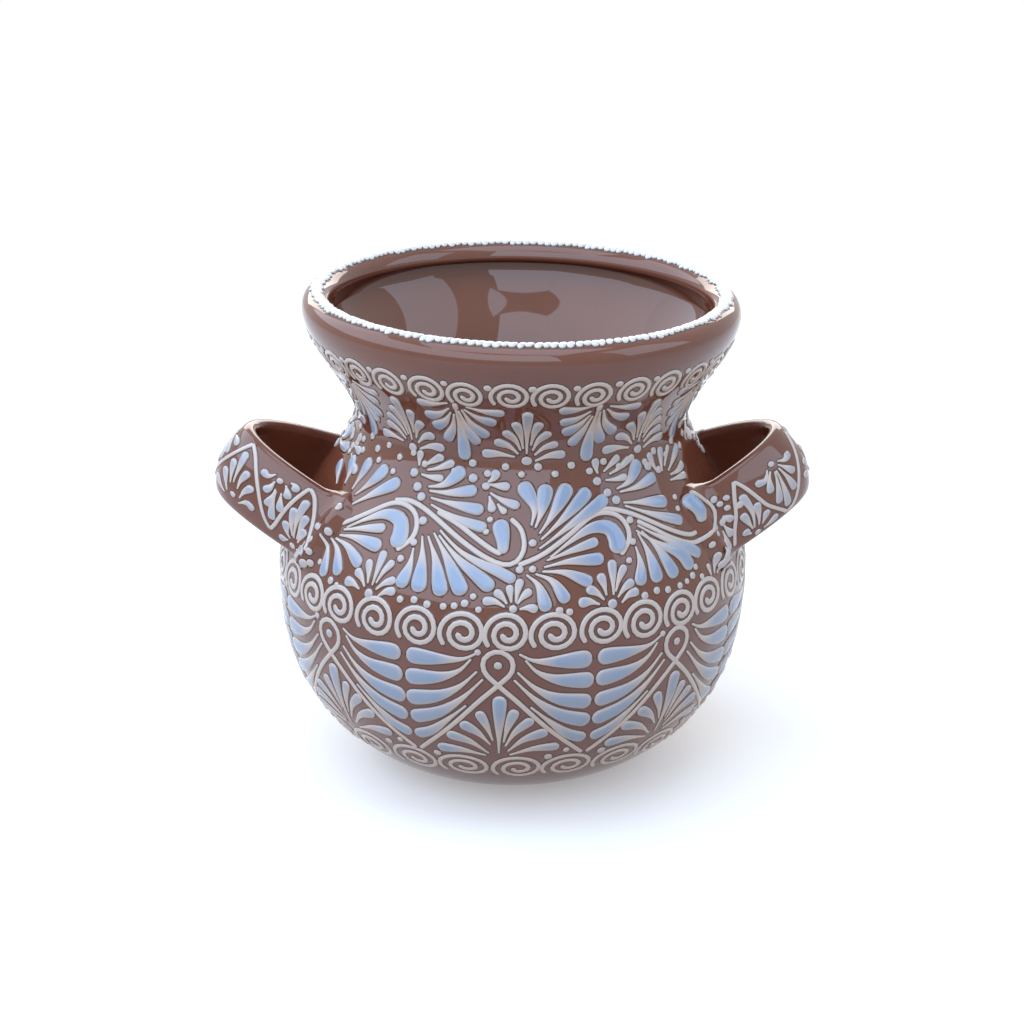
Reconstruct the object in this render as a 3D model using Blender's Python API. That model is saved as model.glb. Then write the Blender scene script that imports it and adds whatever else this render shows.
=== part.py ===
"""Two-handled terracotta planter with a rolled rim and slip-trailed ornament.

Units are metres, +Z is up, and the origin is the middle of the flat base.
The potter's own pieces are separate objects: the thrown pot, the rim coil, the
two strap handles and the raised motifs of white slip. A motif is one object, a
hub or loop from whose faces all its petals, feathers or legs are drawn out.
"""

import math

import bmesh
import bpy
from mathutils import Vector

# Thrown pot: radii and heights of its outer side
BASE_RADIUS = 0.0485
BELLY_RADIUS = 0.1241
BELLY_HEIGHT = 0.1115
BELLY_ROUNDNESS = 2.45
NECK_RADIUS = 0.0870
NECK_HEIGHT = 0.1931
FLARE_RADIUS = 0.1098
FLARE_HEIGHT = 0.2360
FLARE_SLOPE = 0.489
WALL = 0.0070
FLOOR = 0.0090
DRAIN_RADIUS = 0.0080

# How far each end of a profile curve holds its direction
BELLY_PULL = 0.0828
SHOULDER_PULL = 0.0442
NECK_PULL = 0.0389
FLARE_PULL = 0.0452

# The soft neck was pushed on the wheel: how far it went to the right, and the slope of its rim
NECK_LEAN = 0.0046
RIM_TILT = 0.018

# Rim coil that caps the flared neck
RIM_RADIUS = 0.1136
RIM_WIDEST = 0.0126
RIM_RISE = 0.0210
RIM_WIDTH = 0.0160
RIM_UNDERCUT = 0.0032

# Slip bead on the rim: where it starts and ends on the coil, in degrees inward from the coil's outside
BEAD_START = 42.0
BEAD_END = 102.0
BEAD_HEIGHT = 0.0014

# Strap handles: edges are parabolas in plan that run out from the shoulder
HANDLE_SPAN = 0.0460
HANDLE_TUCK = 0.0100
STRAP_THICKNESS = 0.0076
STRAP_BULGE = 0.0039
SMEAR_RADIUS = 0.0080
SMEAR_MOST = 0.0035
UNDER_SMEAR_SHARE = 0.15
LOW_EDGE_STAND = 0.0014
LOW_EDGE_REACH = 0.0424
LOW_EDGE_HEIGHT = 0.1319
LOW_EDGE_RISE = 0.0202
TOP_EDGE_STAND = 0.0037
TOP_EDGE_REACH = 0.0422
TOP_EDGE_HEIGHT = 0.1602
TOP_EDGE_RISE = 0.0203

# Raised slip. Angles are degrees from the front; levels are 0 at the base's edge, 1 at the belly,
# 2 at the neck and 3 at the flare's lip, so the pattern follows the pot when a size changes
SLIP_HEIGHT = 0.0013
HUB_RADIUS = 0.0022
TAIL_SHARE = 0.12
WIDEST_SHARE = 0.88
HANDLE_ANGLE = 90.0
HANDLE_ROOM = 35.0
ROOT_CLEAR = 0.0030

# Belly loops, each with two legs and ten feathers: loop side it grows from, level of its tip, its bend
LOOP_COUNT = 8
LOOP_ANGLE = -3.3
LOOP_SHARE = 0.904
LOOP_HALF_WIDTH = 0.0066
LOOP_HALF_HEIGHT = 0.0086
LOOP_LINE = 0.0013
LEG_ANGLE = 21.7
LEG = (7, 0.519, 10.9, 0.682)
FEATHER_ANGLE = 21.9
FEATHER_WIDTH = 0.0040
FEATHERS = (
    (1, 0.926, 7.0, 0.926),
    (2, 0.844, 7.5, 0.862),
    (4, 0.759, 7.0, 0.781),
    (5, 0.678, 8.5, 0.733),
    (6, 0.598, 13.0, 0.686),
)

# Palmettes: level of the hub, degrees that its middle petal would reach sideways and levels that it
# reaches upward, then how long the next and the outermost petals are beside it
PALMETTE_COUNT = 9
PALMETTE_SPREAD = 80.0
BELLY_PALMETTE = (0.516, 19.9, 0.272, 0.775, 0.725)
BELLY_PETAL_WIDTH = 0.0027
NECK_COUNT = 9
HANGING_ANGLE = -18.3
HANGING_PALMETTE = (2.736, 22.1, 0.746, 0.784, 0.541)
STANDING_ANGLE = 1.6
STANDING_PALMETTE = (2.020, 20.6, 0.640, 0.800, 0.615)
NECK_PETAL_WIDTH = 0.0023

# Shoulder fans: angle and level of the hub, degrees and levels that the first petal would reach sideways
# and upward, directions of the first and last petal, how long the last is beside the first, petal count
SHOULDER_COUNT = 6
SHOULDER_ANGLE = -0.5
SHOULDER_PETAL_WIDTH = 0.0030
SHOULDER_FANS = {
    "rising": (4.5, 1.543, 18.1, 0.342, -13.0, 58.0, 1.226, 5),
    "side": (4.6, 1.401, 15.8, 0.353, 72.0, 163.0, 0.688, 5),
    "falling": (34.0, 1.549, 22.5, 0.497, 115.0, 187.0, 0.622, 6),
    "crest": (28.0, 1.770, 17.1, 0.309, 58.0, 110.0, 1.536, 4),
}

# Shoulder stem that hooks over a fat leaf: spots that each passes through, and its half width
STEM_WIDTH = 0.0013
STEM_SPOTS = (
    (5.0, 1.456), (9.0, 1.500), (15.0, 1.593), (21.0, 1.662), (25.5, 1.685),
    (29.6, 1.655), (31.5, 1.589), (31.2, 1.516), (29.2, 1.432),
)
LEAF_WIDTH = 0.0034
LEAF_SPOTS = (
    (9.5, 1.466), (14.5, 1.543), (20.5, 1.593), (25.4, 1.580), (26.8, 1.527), (26.2, 1.441),
)

# Gaps left wherever one piece is luted to another, and under the slip
LUTE_GAP = 0.0003
SLIP_GAP = 0.0004

# Facet counts, and how much of the slip's gap the chord of a petal or a stem may take up
TURN_STEPS = 48
BELLY_STEPS = 8
SHOULDER_STEPS = 6
NECK_STEPS = 6
RIM_STEPS = 4
BEAD_STEPS = 3
STRAP_STEPS = 20
STRAP_ROWS = 5
LOOP_STEPS = 16
WALL_STEPS = 6
PETAL_CHORD_SHARE = 0.78
STEM_CHORD_SHARE = 0.20


def clear_scene():
    for old in list(bpy.data.objects):
        bpy.data.objects.remove(old, do_unlink=True)


def make_material(name, colour, roughness):
    material = bpy.data.materials.new(name)
    material.use_nodes = True
    shader = material.node_tree.nodes["Principled BSDF"]
    shader.inputs["Base Color"].default_value = (*colour, 1.0)
    shader.inputs["Roughness"].default_value = roughness
    shader.inputs["Metallic"].default_value = 0.0
    return material


def hermite(start, start_pull, end, end_pull, steps):
    """Points after start, up to end, on the curve that leaves and arrives along the two pulls."""
    points = []
    for step in range(1, steps + 1):
        t = step / steps
        points.append(
            (2 * t**3 - 3 * t**2 + 1) * start
            + (t**3 - 2 * t**2 + t) * start_pull
            + (3 * t**2 - 2 * t**3) * end
            + (t**3 - t**2) * end_pull
        )
    return points


def flare_direction():
    return Vector((FLARE_SLOPE, 1.0)).normalized()


def pot_profile(refine=1):
    """Outer side of the pot as (radius, height), from the edge of the base to the flare's lip."""
    power = 2.0 / BELLY_ROUNDNESS
    base_angle = math.acos((BASE_RADIUS / BELLY_RADIUS) ** (1.0 / power))
    drop = BELLY_HEIGHT / math.sin(base_angle) ** power
    steps = BELLY_STEPS * refine
    profile = []
    for step in range(steps):
        angle = base_angle * (1.0 - step / steps)
        radius = BELLY_RADIUS * math.cos(angle) ** power
        profile.append(Vector((radius, BELLY_HEIGHT - drop * math.sin(angle) ** power)))
    belly = Vector((BELLY_RADIUS, BELLY_HEIGHT))
    neck = Vector((NECK_RADIUS, NECK_HEIGHT))
    flare = Vector((FLARE_RADIUS, FLARE_HEIGHT))
    belly_pull = Vector((0, BELLY_PULL))
    shoulder_pull = Vector((0, SHOULDER_PULL))
    neck_pull = Vector((0, NECK_PULL))
    flare_pull = FLARE_PULL * flare_direction()
    profile.append(belly)
    profile += hermite(belly, belly_pull, neck, shoulder_pull, SHOULDER_STEPS * refine)
    profile += hermite(neck, neck_pull, flare, flare_pull, NECK_STEPS * refine)
    return profile


def lean_share(height):
    """How much of the neck's push has been taken up at a height."""
    share = min(max((height - BELLY_HEIGHT) / (NECK_HEIGHT - BELLY_HEIGHT), 0.0), 1.0)
    return share * share * (3.0 - 2.0 * share)


def lean(point):
    """Moves a point of the upright pot to where the pushed neck has it."""
    share = lean_share(point.z)
    return Vector((point.x + NECK_LEAN * share, point.y, point.z - RIM_TILT * share * point.x))


def offset_profile(profile, distance):
    """The same profile moved along its normals: out of the pot where distance is positive."""
    moved = []
    last = len(profile) - 1
    for index, point in enumerate(profile):
        along = (profile[min(index + 1, last)] - profile[max(index - 1, 0)]).normalized()
        moved.append(point + distance * Vector((along.y, -along.x)))
    return moved


def radius_at(profile, height):
    """Radius of a profile at a height, on its straight facets."""
    for low, high in zip(profile, profile[1:]):
        if low.y <= height <= high.y:
            return low.x + (high.x - low.x) * (height - low.y) / (high.y - low.y)
    return profile[-1].x


def finish(name, mesh_edit, material, smooth_angle=40.0):
    bmesh.ops.remove_doubles(mesh_edit, verts=mesh_edit.verts, dist=0.00001)
    bmesh.ops.recalc_face_normals(mesh_edit, faces=mesh_edit.faces)
    mesh = bpy.data.meshes.new(name)
    mesh_edit.to_mesh(mesh)
    mesh_edit.free()
    mesh.materials.append(material)
    mesh.shade_smooth()
    mesh.set_sharp_from_angle(angle=math.radians(smooth_angle))
    piece = bpy.data.objects.new(name, mesh)
    bpy.context.scene.collection.objects.link(piece)
    return piece


def turn(name, section, material, closed=True):
    """A solid of revolution from a section given as (radius, height), then pushed as the neck was."""
    edit = bmesh.new()
    corners = [edit.verts.new((point[0], 0.0, point[1])) for point in section]
    edges = [edit.edges.new(pair) for pair in zip(corners, corners[1:])]
    if closed:
        edges.append(edit.edges.new((corners[-1], corners[0])))
    bmesh.ops.spin(
        edit,
        geom=corners + edges,
        cent=(0, 0, 0),
        axis=(0, 0, 1),
        angle=2 * math.pi,
        steps=TURN_STEPS,
        use_merge=True,
    )
    for corner in edit.verts:
        corner.co = lean(corner.co)
    return finish(name, edit, material)


def make_pot(clay):
    """The thrown wall, floor and drain hole, with half as many rows inside as outside."""
    outer = pot_profile()
    inner = offset_profile(outer, -WALL)[::-2]
    floor_radius = radius_at(inner[::-1], FLOOR)
    inner = [point for point in inner if point.y > FLOOR]
    inner[0] = Vector((outer[-1].x - WALL * math.hypot(1.0, FLARE_SLOPE), FLARE_HEIGHT))
    section = [Vector((DRAIN_RADIUS, 0.0))] + outer + inner
    section += [Vector((floor_radius, FLOOR)), Vector((DRAIN_RADIUS, FLOOR))]
    return turn("pot_body", section, clay)


def coil_point(angle, lift=0.0):
    """A point on the upper half of the rim coil, at an angle inward from its outside."""
    rise = RIM_RISE - RIM_WIDEST + lift
    radius = RIM_RADIUS - 0.5 * RIM_WIDTH + (0.5 * RIM_WIDTH + lift) * math.cos(angle)
    return Vector((radius, FLARE_HEIGHT + RIM_WIDEST + rise * math.sin(angle)))


def rim_section():
    """Rolled rim, from its outer seat on the flare, over the crest, to its inner seat."""
    seat = Vector((FLARE_RADIUS + LUTE_GAP * FLARE_SLOPE, FLARE_HEIGHT + LUTE_GAP))
    widest = coil_point(0.0)
    section = [seat]
    section += hermite(seat, RIM_WIDEST * flare_direction(), widest, Vector((0, RIM_WIDEST)), RIM_STEPS)
    section += [coil_point(0.5 * math.pi * step / RIM_STEPS) for step in range(1, 2 * RIM_STEPS + 1)]
    mouth = section[-1]
    inner_seat = Vector((seat.x - WALL * math.hypot(1.0, FLARE_SLOPE), seat.y))
    under = Vector((inner_seat.x, mouth.y - RIM_UNDERCUT))
    section += hermite(mouth, Vector((0, -RIM_UNDERCUT)), under, 0.5 * (under - mouth), RIM_STEPS // 2)
    section.append(inner_seat)
    return section


def make_rim(clay):
    return turn("rim_roll", rim_section(), clay)


def make_bead(slip):
    """Raised trail of slip laid over the crest of the rim."""
    under = []
    over = []
    for step in range(BEAD_STEPS + 1):
        share = step / BEAD_STEPS
        angle = math.radians(BEAD_START + (BEAD_END - BEAD_START) * share)
        under.append(coil_point(angle, LUTE_GAP))
        over.append(coil_point(angle, LUTE_GAP + BEAD_HEIGHT * math.sin(math.pi * share)))
    return turn("rim_slip_bead", under + over[-2:0:-1], slip)


def strap_root(height, stand):
    """How far out an edge of the strap starts: where the wall is there, and what it stands off."""
    return math.sqrt(radius_at(pot_profile(), height) ** 2 - HANDLE_SPAN**2) + stand


def strap_point(side, along, across):
    """Middle of the strap: along runs from -1 to 1 around the loop, across from low edge to top edge."""
    reach = 1.0 - along**2
    low = Vector((strap_root(LOW_EDGE_HEIGHT, LOW_EDGE_STAND), HANDLE_SPAN * along, LOW_EDGE_HEIGHT))
    top = Vector((strap_root(TOP_EDGE_HEIGHT, TOP_EDGE_STAND), HANDLE_SPAN * along, TOP_EDGE_HEIGHT))
    low += reach * Vector((LOW_EDGE_REACH, 0.0, LOW_EDGE_RISE))
    top += reach * Vector((TOP_EDGE_REACH, 0.0, TOP_EDGE_RISE))
    point = low.lerp(top, across)
    point.x += STRAP_BULGE * 4.0 * across * (1.0 - across)
    point.x *= side
    return point


def strap_normal(side, along, across):
    """Outward normal of the strap's middle surface."""
    step = 0.001
    run = strap_point(side, along + step, across) - strap_point(side, along - step, across)
    rise = strap_point(side, along, across + step) - strap_point(side, along, across - step)
    normal = run.cross(rise).normalized()
    return normal if normal.x * side > 0 else -normal


def smear(point, under):
    """Clay smeared into the corner between strap and wall, with little of it under the strap."""
    sideways = point.x - NECK_LEAN * lean_share(point.z)
    gap = math.hypot(sideways, point.y) - radius_at(pot_profile(), point.z)
    gap = min(max(gap, 0.0), SMEAR_RADIUS)
    fill = SMEAR_RADIUS - math.sqrt(SMEAR_RADIUS**2 - (SMEAR_RADIUS - gap) ** 2)
    fill = min(fill, SMEAR_MOST)
    return UNDER_SMEAR_SHARE * fill if under else fill


def strap_section(side, along):
    """Closed ring of points round the strap, with rounded edges."""
    half = 0.5 * STRAP_THICKNESS
    rows = [row / (STRAP_ROWS - 1) for row in range(STRAP_ROWS)]
    spots = [(row, strap_normal(side, along, row)) for row in rows]
    spots.append((1.0, (strap_point(side, along, 1.0) - strap_point(side, along, 0.9)).normalized()))
    spots += [(row, -strap_normal(side, along, row)) for row in rows[::-1]]
    spots.append((0.0, (strap_point(side, along, 0.0) - strap_point(side, along, 0.1)).normalized()))
    ring = []
    for across, way in spots:
        point = strap_point(side, along, across) + half * way
        ring.append(point + smear(point, across == 0.0) * way)
    return ring


def make_seat_cutter():
    """The pot's outside with the luting gap added, closed at the axis."""
    outside = offset_profile(pot_profile(), LUTE_GAP)
    section = [Vector((0.0, -LUTE_GAP))] + outside + [Vector((0.0, FLARE_HEIGHT))]
    cutter = turn("handle_seat_cutter", section, make_material("cutter", (0.5, 0.5, 0.5), 0.5), closed=False)
    cutter.hide_render = True
    cutter.display_type = "WIRE"
    return cutter


def make_handle(name, side, cutter, clay):
    """A strap in rings that crowd towards its roots, with its ends cut to the pot's shoulder."""
    end = 1.0 + HANDLE_TUCK / HANDLE_SPAN
    edit = bmesh.new()
    rings = []
    for step in range(STRAP_STEPS + 1):
        along = end * math.sin(math.pi * (step / STRAP_STEPS - 0.5))
        rings.append([edit.verts.new(point) for point in strap_section(side, along)])
    count = len(rings[0])
    for ring, following in zip(rings, rings[1:]):
        for index in range(count):
            after = (index + 1) % count
            edit.faces.new((ring[index], ring[after], following[after], following[index]))
    edit.faces.new(rings[0])
    edit.faces.new(rings[-1])
    handle = finish(name, edit, clay, smooth_angle=50.0)
    seat = handle.modifiers.new("seat on the shoulder", "BOOLEAN")
    seat.operation = "DIFFERENCE"
    seat.object = cutter
    return handle


def measure_wall():
    """The pot's outer side in small steps, each with its level, nowhere inside the pot's own facets."""
    facets = pot_profile()
    smooth = pot_profile(WALL_STEPS)
    profile = [Vector((max(point.x, radius_at(facets, point.y)), point.y)) for point in smooth]
    wall = [(0.0, profile[0])]
    start = 0
    for zone, steps in enumerate((BELLY_STEPS, SHOULDER_STEPS, NECK_STEPS)):
        end = start + steps * WALL_STEPS
        rows = profile[start:end + 1]
        lengths = [(high - low).length for low, high in zip(rows, rows[1:])]
        for index, point in enumerate(rows[1:]):
            wall.append((zone + sum(lengths[:index + 1]) / sum(lengths), point))
        start = end
    return wall


def wall_step(wall, level):
    """The small step of the wall that a level lies in."""
    for low, high in zip(wall, wall[1:]):
        if level <= high[0]:
            break
    return low, high


def radius_on(wall, level):
    return wall_step(wall, level)[1][1].x


def rise_on(wall, level):
    """Length up the clay that one whole level takes, near this one."""
    (low_level, low), (high_level, high) = wall_step(wall, level)
    return (high - low).length / (high_level - low_level)


def on_wall(wall, spot, across, up, lift):
    """A point over the clay, so far to the right of a spot and up from it; a spot is (angle, level)."""
    level = spot[1] + up / rise_on(wall, spot[1])
    (low_level, low), (high_level, high) = wall_step(wall, level)
    foot = low.lerp(high, (level - low_level) / (high_level - low_level))
    way = (high - low).normalized()
    over = foot + lift * Vector((way.y, -way.x))
    angle = math.radians(spot[0]) + across / foot.x
    return lean(Vector((over.x * math.sin(angle), -over.x * math.cos(angle), over.y)))


def path_length(wall, path):
    steps = 8
    spots = [on_wall(wall, path(step / steps), 0.0, 0.0, SLIP_GAP) for step in range(steps + 1)]
    return sum((high - low).length for low, high in zip(spots, spots[1:]))


def longest_step(chord):
    """Longest straight step round the neck, the tightest turn, that takes this share of the slip's gap."""
    return math.sqrt(8.0 * NECK_RADIUS * chord * SLIP_GAP)


def section(edit, wall, path, share, half_width):
    """Left foot, right foot and crest of a mark at a share of its path."""
    nudge = 0.02
    here = path(share)
    ahead = path(share + nudge)
    across = math.radians(ahead[0] - here[0]) * radius_on(wall, here[1])
    run = Vector((across, (ahead[1] - here[1]) * rise_on(wall, here[1])))
    right = half_width * Vector((run.y, -run.x)).normalized()
    places = ((-right, SLIP_GAP), (right, SLIP_GAP), (0.0 * right, SLIP_GAP + SLIP_HEIGHT))
    return [edit.verts.new(on_wall(wall, here, step.x, step.y, lift)) for step, lift in places]


def grow(edit, wall, ring, path, half_width, tail=TAIL_SHARE, chord=PETAL_CHORD_SHARE):
    """Draws a mark out of a face along a path; ring is left foot, right foot, then the crest."""
    count = max(2, math.ceil(WIDEST_SHARE * path_length(wall, path) / longest_step(chord)))
    for row in range(1, count + 1):
        width = half_width * (tail + (1.0 - tail) * (row / count) ** 2)
        following = section(edit, wall, path, WIDEST_SHARE * row / count, width)
        edit.faces.new((ring[0], ring[1], following[1], following[0]))
        edit.faces.new((ring[1], ring[2], following[2], following[1]))
        edit.faces.new((ring[-1], ring[0], following[0], following[2]))
        if len(ring) == 4:
            edit.faces.new((ring[2], ring[3], following[2]))
        ring = following
    tip = edit.verts.new(on_wall(wall, path(1.0), 0.0, 0.0, SLIP_GAP))
    for index in range(3):
        edit.faces.new((ring[index], ring[(index + 1) % 3], tip))


def ray(hub, wide, tall, direction, reach):
    """Straight path from a hub over the wall; direction is in degrees to the right of upward."""
    across = wide * reach * math.sin(math.radians(direction))
    up = tall * reach * math.cos(math.radians(direction))
    return lambda share: (hub[0] + share * across, hub[1] + share * up)


def make_fan(name, wall, hub, wide, tall, petals, half_width, slip):
    """A low domed hub with a petal out of each of its front faces; a petal is (direction, reach)."""
    edges = [0.5 * (one[0] + other[0]) for one, other in zip(petals, petals[1:])]
    edges = [2 * petals[0][0] - edges[0]] + edges + [2 * petals[-1][0] - edges[-1]]
    behind = 360.0 + edges[0] - edges[-1]
    edges += [edges[-1] + behind / 3.0, edges[-1] + 2.0 * behind / 3.0]
    edit = bmesh.new()
    feet = []
    for edge in edges:
        across = HUB_RADIUS * math.sin(math.radians(edge))
        up = HUB_RADIUS * math.cos(math.radians(edge))
        feet.append(edit.verts.new(on_wall(wall, hub, across, up, SLIP_GAP)))
    crest = edit.verts.new(on_wall(wall, hub, 0.0, 0.0, SLIP_GAP + SLIP_HEIGHT))
    edit.faces.new(feet)
    for index, foot in enumerate(feet):
        after = feet[(index + 1) % len(feet)]
        if index < len(petals):
            path = ray(hub, wide, tall, *petals[index])
            grow(edit, wall, [foot, after, crest], path, half_width)
        else:
            edit.faces.new((foot, after, crest))
    return finish(name, edit, slip)


def palmette(towards, near, far):
    """Petals of a palmette, longest in the middle."""
    half = PALMETTE_COUNT // 2
    petals = []
    for index in range(-half, half + 1):
        reach = near + (far - near) * (abs(index) - 1) / (half - 1)
        petals.append((towards + PALMETTE_SPREAD * index / half, reach if index else 1.0))
    return petals


def bent(start, bend, tip):
    """Path over the wall that leaves its start towards the bend and arrives from it."""
    def at(share):
        weights = ((1.0 - share) ** 2, 2.0 * share * (1.0 - share), share**2)
        return tuple(sum(w * p[axis] for w, p in zip(weights, (start, bend, tip))) for axis in (0, 1))
    return at


def make_loop(name, wall, centre, slip):
    """A drawn loop with two legs and ten feathers out of its sides."""
    edit = bmesh.new()
    lines = []
    for offset, lift in ((LOOP_LINE, 0.0), (0.0, SLIP_HEIGHT), (-LOOP_LINE, 0.0)):
        line = []
        for side in range(LOOP_STEPS):
            angle = 2 * math.pi * side / LOOP_STEPS
            across = (LOOP_HALF_WIDTH + offset) * math.sin(angle)
            up = (LOOP_HALF_HEIGHT + offset) * math.cos(angle)
            line.append(edit.verts.new(on_wall(wall, centre, across, up, SLIP_GAP + lift)))
        lines.append(line)
    outer, ridge, inner = lines
    branches = {}
    for hand in (1, -1):
        for branch in FEATHERS + (LEG,):
            side = branch[0] if hand > 0 else LOOP_STEPS - 1 - branch[0]
            branches[side] = (hand, branch)
    for side in range(LOOP_STEPS):
        after = (side + 1) % LOOP_STEPS
        edit.faces.new((inner[side], inner[after], ridge[after], ridge[side]))
        edit.faces.new((inner[side], inner[after], outer[after], outer[side]))
        ring = [outer[side], outer[after], ridge[after], ridge[side]]
        if side not in branches:
            edit.faces.new(ring)
            continue
        hand, branch = branches[side]
        angle = 2 * math.pi * (side + 0.5) / LOOP_STEPS
        turned = math.degrees(LOOP_HALF_WIDTH * math.sin(angle) / radius_on(wall, centre[1]))
        raised = LOOP_HALF_HEIGHT * math.cos(angle) / rise_on(wall, centre[1])
        start = (centre[0] + turned, centre[1] + raised)
        bend = (centre[0] + hand * branch[2], branch[3])
        if branch == LEG:
            tip = (centre[0] + hand * LEG_ANGLE, branch[1])
            grow(edit, wall, ring, bent(start, bend, tip), LOOP_LINE, 1.0)
        else:
            tip = (centre[0] + hand * FEATHER_ANGLE, branch[1])
            grow(edit, wall, ring, bent(start, bend, tip), FEATHER_WIDTH)
    return finish(name, edit, slip)


def make_belly_slip(wall, slip):
    level, wide, tall, near, far = BELLY_PALMETTE
    petals = palmette(0.0, near, far)
    for index in range(LOOP_COUNT):
        angle = LOOP_ANGLE + 360.0 * index / LOOP_COUNT
        make_loop(f"belly_loop_{index + 1}", wall, (angle, LOOP_SHARE), slip)
        name = f"belly_palmette_{index + 1}"
        make_fan(name, wall, (angle, level), wide, tall, petals, BELLY_PETAL_WIDTH, slip)


def make_neck_slip(wall, slip):
    kinds = (
        ("hanging", 180.0, HANGING_ANGLE, HANGING_PALMETTE),
        ("standing", 0.0, STANDING_ANGLE, STANDING_PALMETTE),
    )
    for index in range(NECK_COUNT):
        turned = 360.0 * index / NECK_COUNT
        for kind, towards, angle, (level, wide, tall, near, far) in kinds:
            name = f"neck_{kind}_{index + 1}"
            petals = palmette(towards, near, far)
            make_fan(name, wall, (angle + turned, level), wide, tall, petals, NECK_PETAL_WIDTH, slip)


def through(spots):
    """Smooth path over the wall through a row of spots."""
    def at(share):
        index = min(int(share * (len(spots) - 1)), len(spots) - 2)
        u = share * (len(spots) - 1) - index
        a, b, c, d = (spots[min(max(index + step, 0), len(spots) - 1)] for step in (-1, 0, 1, 2))
        weights = (-u + 2 * u**2 - u**3, 2 - 5 * u**2 + 3 * u**3, u + 4 * u**2 - 3 * u**3, u**3 - u**2)
        return tuple(0.5 * sum(w * p[axis] for w, p in zip(weights, (a, b, c, d))) for axis in (0, 1))
    return at


def make_trail(name, wall, spots, half_width, tail, slip):
    """A mark on its own: a stem of even width, or a leaf that swells from its tail."""
    edit = bmesh.new()
    path = through(spots)
    ring = section(edit, wall, path, 0.0, half_width * tail)
    edit.faces.new(ring)
    grow(edit, wall, ring, path, half_width, tail, STEM_CHORD_SHARE)
    return finish(name, edit, slip)


def root_angle():
    """Half of the angle that a handle's two roots take up on the shoulder, with a clearance beside them."""
    radius = radius_at(pot_profile(), TOP_EDGE_HEIGHT)
    middle = math.asin(HANDLE_SPAN / radius)
    meeting = math.atan2(2.0 * TOP_EDGE_REACH, HANDLE_SPAN) - middle
    footing = (0.5 * STRAP_THICKNESS + SMEAR_MOST) / math.sin(meeting)
    return math.degrees(middle + (footing + ROOT_CLEAR) / radius)


def shoulder_turns(angle):
    """Turns of the shoulder's pattern at which a motif at this angle isn't inside a handle's loop."""
    turns = [SHOULDER_ANGLE + 360.0 * index / SHOULDER_COUNT for index in range(SHOULDER_COUNT)]
    return [turned for turned in turns if abs((angle + turned) % 180.0 - HANDLE_ANGLE) > HANDLE_ROOM]


def fan_petals(first, last, last_reach, count):
    """Petals of a shoulder fan, from the first direction to the last."""
    shares = [index / (count - 1) for index in range(count)]
    return [(first + (last - first) * share, 1.0 + (last_reach - 1.0) * share) for share in shares]


def squeezed(angle, squeeze):
    """The angle drawn nearer to the pot's front or back, whichever it lies on."""
    middle = 180.0 * round(angle / 180.0)
    return middle + squeeze * (angle - middle)


def shoulder_squeeze():
    """How much of its drawn width the shoulder's pattern keeps, to end beside the handles' roots."""
    widest = 0.0
    for angle, level, wide, tall, *fan in SHOULDER_FANS.values():
        for turned in shoulder_turns(angle):
            hub = (angle + turned, level)
            for petal in fan_petals(*fan):
                tip = ray(hub, wide, tall, *petal)(1.0)[0]
                widest = max(widest, abs(tip - 180.0 * round(hub[0] / 180.0)))
    for turned in shoulder_turns(LEAF_SPOTS[2][0]):
        for angle, level in STEM_SPOTS + LEAF_SPOTS:
            widest = max(widest, abs(angle + turned - 180.0 * round((angle + turned) / 180.0)))
    return min(1.0, (HANDLE_ANGLE - root_angle()) / widest)


def make_shoulder_fans(wall, slip):
    squeeze = shoulder_squeeze()
    for kind, (angle, level, wide, tall, *fan) in SHOULDER_FANS.items():
        petals = fan_petals(*fan)
        for index, turned in enumerate(shoulder_turns(angle)):
            hub = (squeezed(angle + turned, squeeze), level)
            name = f"shoulder_{kind}_{index + 1}"
            make_fan(name, wall, hub, wide * squeeze, tall, petals, SHOULDER_PETAL_WIDTH, slip)


def make_shoulder_stems(wall, slip):
    squeeze = shoulder_squeeze()
    for index, turned in enumerate(shoulder_turns(LEAF_SPOTS[2][0])):
        stem = [(squeezed(angle + turned, squeeze), level) for angle, level in STEM_SPOTS]
        leaf = [(squeezed(angle + turned, squeeze), level) for angle, level in LEAF_SPOTS]
        make_trail(f"shoulder_stem_{index + 1}", wall, stem, STEM_WIDTH, 1.0, slip)
        make_trail(f"shoulder_leaf_{index + 1}", wall, leaf, LEAF_WIDTH, TAIL_SHARE, slip)


def main():
    clear_scene()
    clay = make_material("glazed clay", (0.228, 0.108, 0.078), 0.22)
    slip = make_material("white slip", (0.42, 0.45, 0.53), 0.25)
    make_pot(clay)
    make_rim(clay)
    make_bead(slip)
    cutter = make_seat_cutter()
    make_handle("handle_left", -1, cutter, clay)
    make_handle("handle_right", 1, cutter, clay)
    wall = measure_wall()
    make_belly_slip(wall, slip)
    make_neck_slip(wall, slip)
    make_shoulder_fans(wall, slip)
    make_shoulder_stems(wall, slip)


main()
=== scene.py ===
# %% [markdown]
# # A two-handled planter with slip-trailed ornament
# The real pot is red earthenware: a thrown pot with a rolled rim, two broad straps luted to its
# shoulder, and over a thousand raised marks of white slip under one clear, glossy glaze. The packed
# solids give its size and build. This lesson gives it a smooth skin, its slip and its glaze.

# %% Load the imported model
import math

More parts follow.
